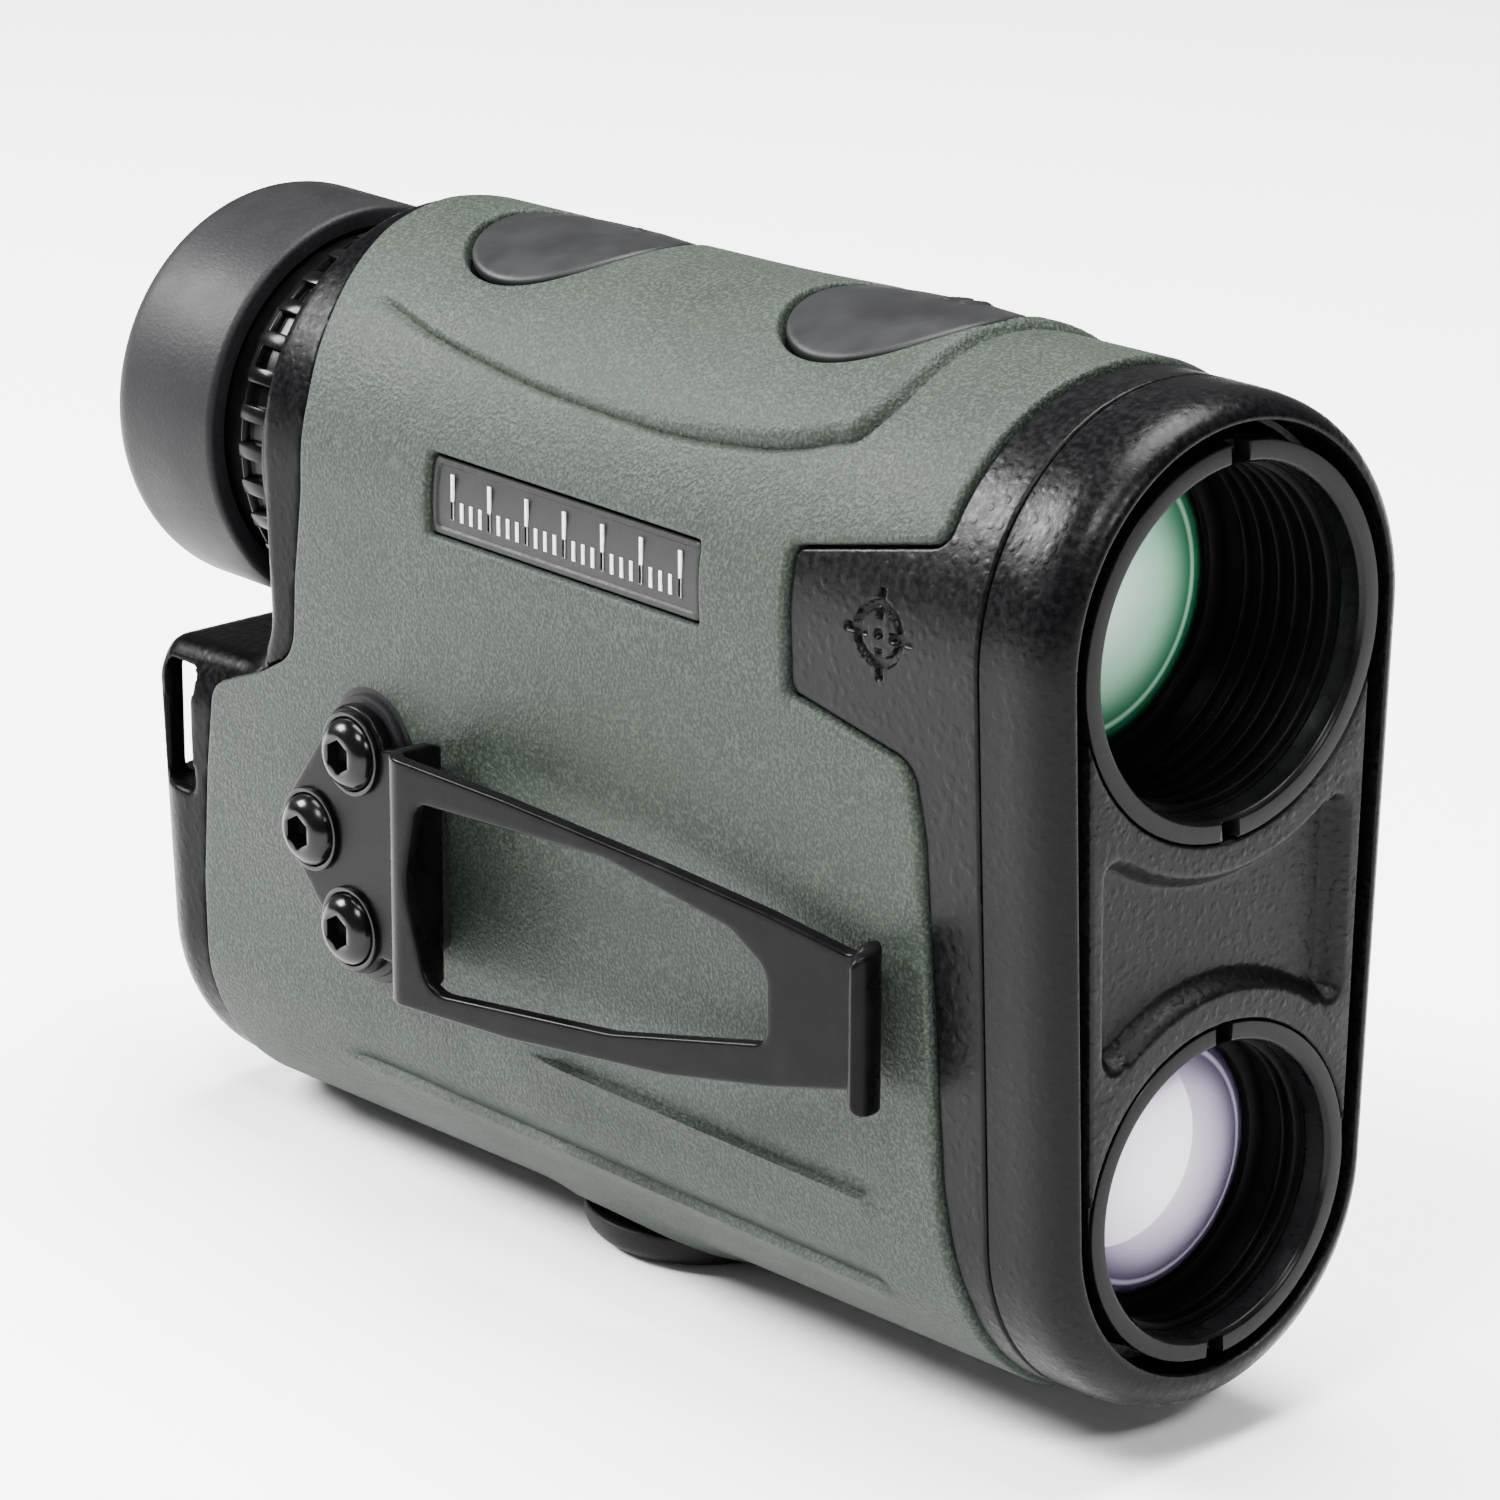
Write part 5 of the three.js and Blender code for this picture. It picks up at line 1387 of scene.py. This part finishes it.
# ---------------------------------------------------------------- badges
def build_badge(side):
    name = "right" if side > 0 else "left"
    outline = badge_outline(side, -0.02)
    edges = [closed_line(outline)]

    def rise(places, edge):
        frame_edge = 0.16 * (1 - step_up(edge, 0.45, 0.6))
        return -0.62 + frame_edge - round_edge(edge, 0.12)

    points, faces = skin(outline, [], (-67.5, -35, min(outline[:, 1]), max(outline[:, 1])), rise,
                         lambda p, e: np.full(len(p), -1.5), on_body, edges,
                         [(edges, (0.05, 0.12, 0.45, 0.6))], 0.7)
    piece(f"badge_{name}", points, faces, BADGE, replaces=[f"side_badge_{name}"], sharp=45)
    build_graduations(side, name)


def build_graduations(side, name):
    """Raised white graduation bars: short ones, with a long one at every fourth."""
    count, pitch, half_wide = 25, 1.08, 0.17
    start_x = -51.2 - pitch * (count - 1) / 2
    y = -side * (TOP_RADIUS * math.cos(LEAN) - 0.66)
    meshes = []
    kinds = ((1, count, 0.75, -1.35), (4, (count + 3) // 4, 1.75, -0.35))
    for kind, (every, number, half, z) in enumerate(kinds):
        loops = []
        for height, edge in ((0.0, 0.0), (-0.1, 0.0), (-0.14, 0.05)):
            u, v = half_wide - edge, half - edge
            loops.append(np.array([(-u, height, -v), (u, height, -v), (u, height, v), (-u, height, v)]))
        points, faces = loft(loops, closed=False)
        faces += [(3, 2, 1, 0), (8, 9, 10, 11)]
        meshes.append(copies(f"bars_{kind}", points * [1, side, 1], faces, WHITE, number, (start_x, y, z),
                             step=(pitch * every, 0, 0)))
    joined(f"badge_marks_{name}", meshes, WHITE, "body", (), 35)


# ---------------------------------------------------------------- rear cover
def rear_edge_x(z):
    """The armour's rear edge as x for each height."""
    side = rear_border()
    height = section(side[:, 1])[1] + side[:, 0] * DROOP
    order = np.argsort(height)
    return np.interp(z, height[order], side[order, 0])


def cover_distance(x, y, z):
    """The chassis at the rear: shoulder band, step, battery block, lanyard corner and cap hole."""
    armour = body_distance(x, y, z)
    step_line = (z + 20.3 + 0.052 * (-88.3 - x)) * 0.9987
    low_block = round_cut(step_line, -106.8 - x, 3.4)
    view = round_join(-88.3 - x, low_block, 5.5)
    whole = round_cut(armour + HOUSING_INSET, view, 1.3 + 4.2 * step_up(-z, 17.5, 24.0))
    edge_x = rear_edge_x(z)
    shell = np.maximum.reduce([whole, -(whole + 2.0), x - edge_x + 0.22])
    tucked = np.maximum.reduce([
        armour + ARMOUR_THICK + 0.12, -(whole + 3.4), whole, edge_x - 1.5 - x, x + 78.0])
    bore = np.hypot(y, z - EYE_Z) - 13.55
    cap_hole = np.maximum(np.hypot(y, z - CAP_Z) - 10.2, x + 103.1)
    out = np.maximum.reduce([np.minimum(shell, tucked), -bore, -cap_hole])
    return carve_lanyard(out, whole, x, y, z)


def box_distance(x, y, z, x0, x1, y0, y1, z0, z1, radius=0.0):
    dx = np.maximum(x0 + radius - x, x - x1 + radius)
    dy = np.maximum(y0 + radius - y, y - y1 + radius)
    dz = np.maximum(z0 + radius - z, z - z1 + radius)
    outside = np.sqrt(np.maximum(dx, 0) ** 2 + np.maximum(dy, 0) ** 2 + np.maximum(dz, 0) ** 2)
    return outside + np.minimum(np.maximum.reduce([dx, dy, dz]), 0) - radius


def carve_lanyard(out, whole, x, y, z):
    """Slot round the right rear corner for a lanyard, with a bar left standing."""
    lining = np.minimum(
        box_distance(x, y, z, -104.2, -98.1, -40, -7.5, -34.4, -21.4),
        box_distance(x, y, z, -120, -104.1, -15.7, -7.5, -34.4, -21.4))
    out = np.minimum(out, np.maximum(lining, whole + 0.2))
    side_slot = box_distance(x, y, z, -104.2, -99.5, -40, -8.9, -33, -22.8, 0.8)
    rear_slot = box_distance(x, y, z, -120, -103.6, -13.4, -8.9, -33, -22.8, 0.8)
    return np.maximum(out, -np.minimum(side_slot, rear_slot))


def build_rear_cover():
    points, faces = carved(cover_distance, (-108.2, -19.5, -62.5), (-76.5, 19.5, 18.5), 0.40)
    return piece("rear_chassis", points, faces, REAR, replaces=["rear_cover"], sharp=60)


def build_battery_cap():
    """Cap with a milled edge and a raised grip bar across it."""
    grips = 40
    profile = bevelled([(0.0, -106.45), (8.6, -106.45), (8.9, -106.6), (CAP_RADIUS - 0.15, -106.6),
                        (CAP_RADIUS, -106.3), (CAP_RADIUS, -103.4), (8.0, -103.4), (8.0, -104.3),
                        (0.0, -104.3)], 0.14, 2)
    cap = mesh_of("cap", *turned(profile, CAP_Z, 160))
    grip = rounded_block(-106.62, -105.6, 0.35, 9.2, CAP_RADIUS + 0.05, 0.12)
    milling = copies("cap_grips", *grip, GLOSS, grips, (0, 0, CAP_Z), turn=(2 * math.pi / grips, 0, 0))
    bar_points, bar_faces = rounded_block(-106.75, -106.3, 0.55, -6.6, 6.6, 0.3)
    bar = mesh_of("cap_bar", bar_points + [0, 0, CAP_Z], bar_faces)
    joined("battery_cap_turned", [cap, milling, bar], GLOSS, "battery_cap", ["battery_cap"],
           35)


def build_tripod_foot():
    foot = bevelled([(5.3, 0.0), (7.3, 0.0), (8.5, 0.4), (9.2, 1.1), (9.45, 1.9), (9.45, 2.9), (5.3, 2.9)],
                    0.35, 4)
    points, faces = turned(foot, BOSS_FOOT, 160, x0=BOSS_X, upright=True)
    piece("tripod_foot_ring", points, faces, CUP, replaces=["tripod_boss"], sharp=40)


# ---------------------------------------------------------------- pieces kept from the frame
KEPT = {
    "main_housing": INNER, "objective_lens_rear": GLASS, "detector_board": BOARD, "prism_holder": INNER,
    "roof_prism": GLASS, "half_penta_prism": GLASS, "laser_module": NICKEL, "reticle_display": GLASS,
    "eyepiece_barrel": INNER, "ocular_cell": INNER, "ocular_eye_lens": GLASS, "ocular_field_lens": GLASS,
    "eyecup_cam_sleeve": INNER, "measure_switch": NICKEL, "menu_switch": NICKEL, "button_board": BOARD,
    "main_board": BOARD, "battery_sleeve": INNER, "battery_cell": WRAP, "battery_positive_contact": NICKEL,
    "battery_cap_seal": CUP, "battery_cap_contact": NICKEL, "tripod_socket": BRASS,
}


def paint_kept():
    for name, material in KEPT.items():
        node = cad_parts[name]
        node.data.materials.clear()
        node.data.materials.append(material)


# ---------------------------------------------------------------- studio
def build_studio():
    floor_mesh = bpy.data.meshes.new("floor")
    size = 3.0
    corners = [(-size, -size, 0), (size, -size, 0), (size, size, 0), (-size, size, 0)]
    floor_mesh.from_pydata(corners, [], [(0, 1, 2, 3)])
    floor = bpy.data.objects.new("floor", floor_mesh)
    bpy.context.scene.collection.objects.link(floor)
    pale = Shader("floor_pale")
    dust = pale.noise(60, 2, 0.5)
    tone = pale.blend(dust, (0.93, 0.93, 0.93), (0.95, 0.95, 0.95))
    floor_mesh.materials.append(pale.finish(Base_Color=tone, Roughness=0.9))
    world = bpy.data.worlds.new("studio")
    bpy.context.scene.world = world
    world.use_nodes = True
    back = world.node_tree.nodes["Background"]
    back.inputs[0].default_value = (1, 1, 1, 1)
    back.inputs[1].default_value = 0.30
    soft_light("key", (0.14, -0.24, 0.42), 0.12, 3.0)
    soft_light("front", (0.50, -0.12, 0.40), 0.10, 2.6)
    soft_light("top", (-0.02, 0.14, 0.80), 0.5, 32.0)
    soft_light("rear", (-0.50, -0.32, 0.44), 0.22, 20.0)


def soft_light(name, place, size, power):
    lamp = bpy.data.lights.new(name, "AREA")
    lamp.shape = "SQUARE"
    lamp.size = size
    lamp.energy = power
    made = bpy.data.objects.new(name, lamp)
    made.location = place
    aim = Vector((0, 0, 0.04)) - Vector(place)
    made.rotation_euler = aim.to_track_quat("-Z", "Y").to_euler()
    bpy.context.scene.collection.objects.link(made)


def build_camera():
    camera = bpy.data.cameras.new("camera")
    camera.lens = 144.72
    camera.sensor_width = 36
    camera.clip_start = 0.01
    made = bpy.data.objects.new("camera", camera)
    forward = Vector((-0.71094686, 0.62738017, -0.31772423)).normalized()
    roll = Matrix.Rotation(math.radians(0.17), 4, "Z")
    made.matrix_world = Matrix.Translation(row([273.875, -286.112, 124.431])) @ (
        forward.to_track_quat("-Z", "Y").to_matrix().to_4x4() @ roll)
    bpy.context.scene.collection.objects.link(made)
    bpy.context.scene.camera = made


build_camera()
build_studio()
build_armour()
build_front_housing()
build_bezel()
build_front_plate()
build_optic("objective", OBJECTIVE, "objective_lens_front", GREEN)
build_optic("receiver", RECEIVER, "receiver_lens", VIOLET)
build_eyepiece()
build_button("measure_button", "measure_button", MEASURE_X, bars((2.5, -3.2, 0.0, 0.9)))
build_button("menu_button", "menu_button", MENU_X, bars((1.5, -3.6, 1.2, 0.45), (3.2, -3.6, 1.2, 0.45)))
build_clip_pad()
build_clip()
build_clip_screws()
build_badge(1)
build_badge(-1)
build_rear_cover()
build_battery_cap()
build_tripod_foot()
paint_kept()
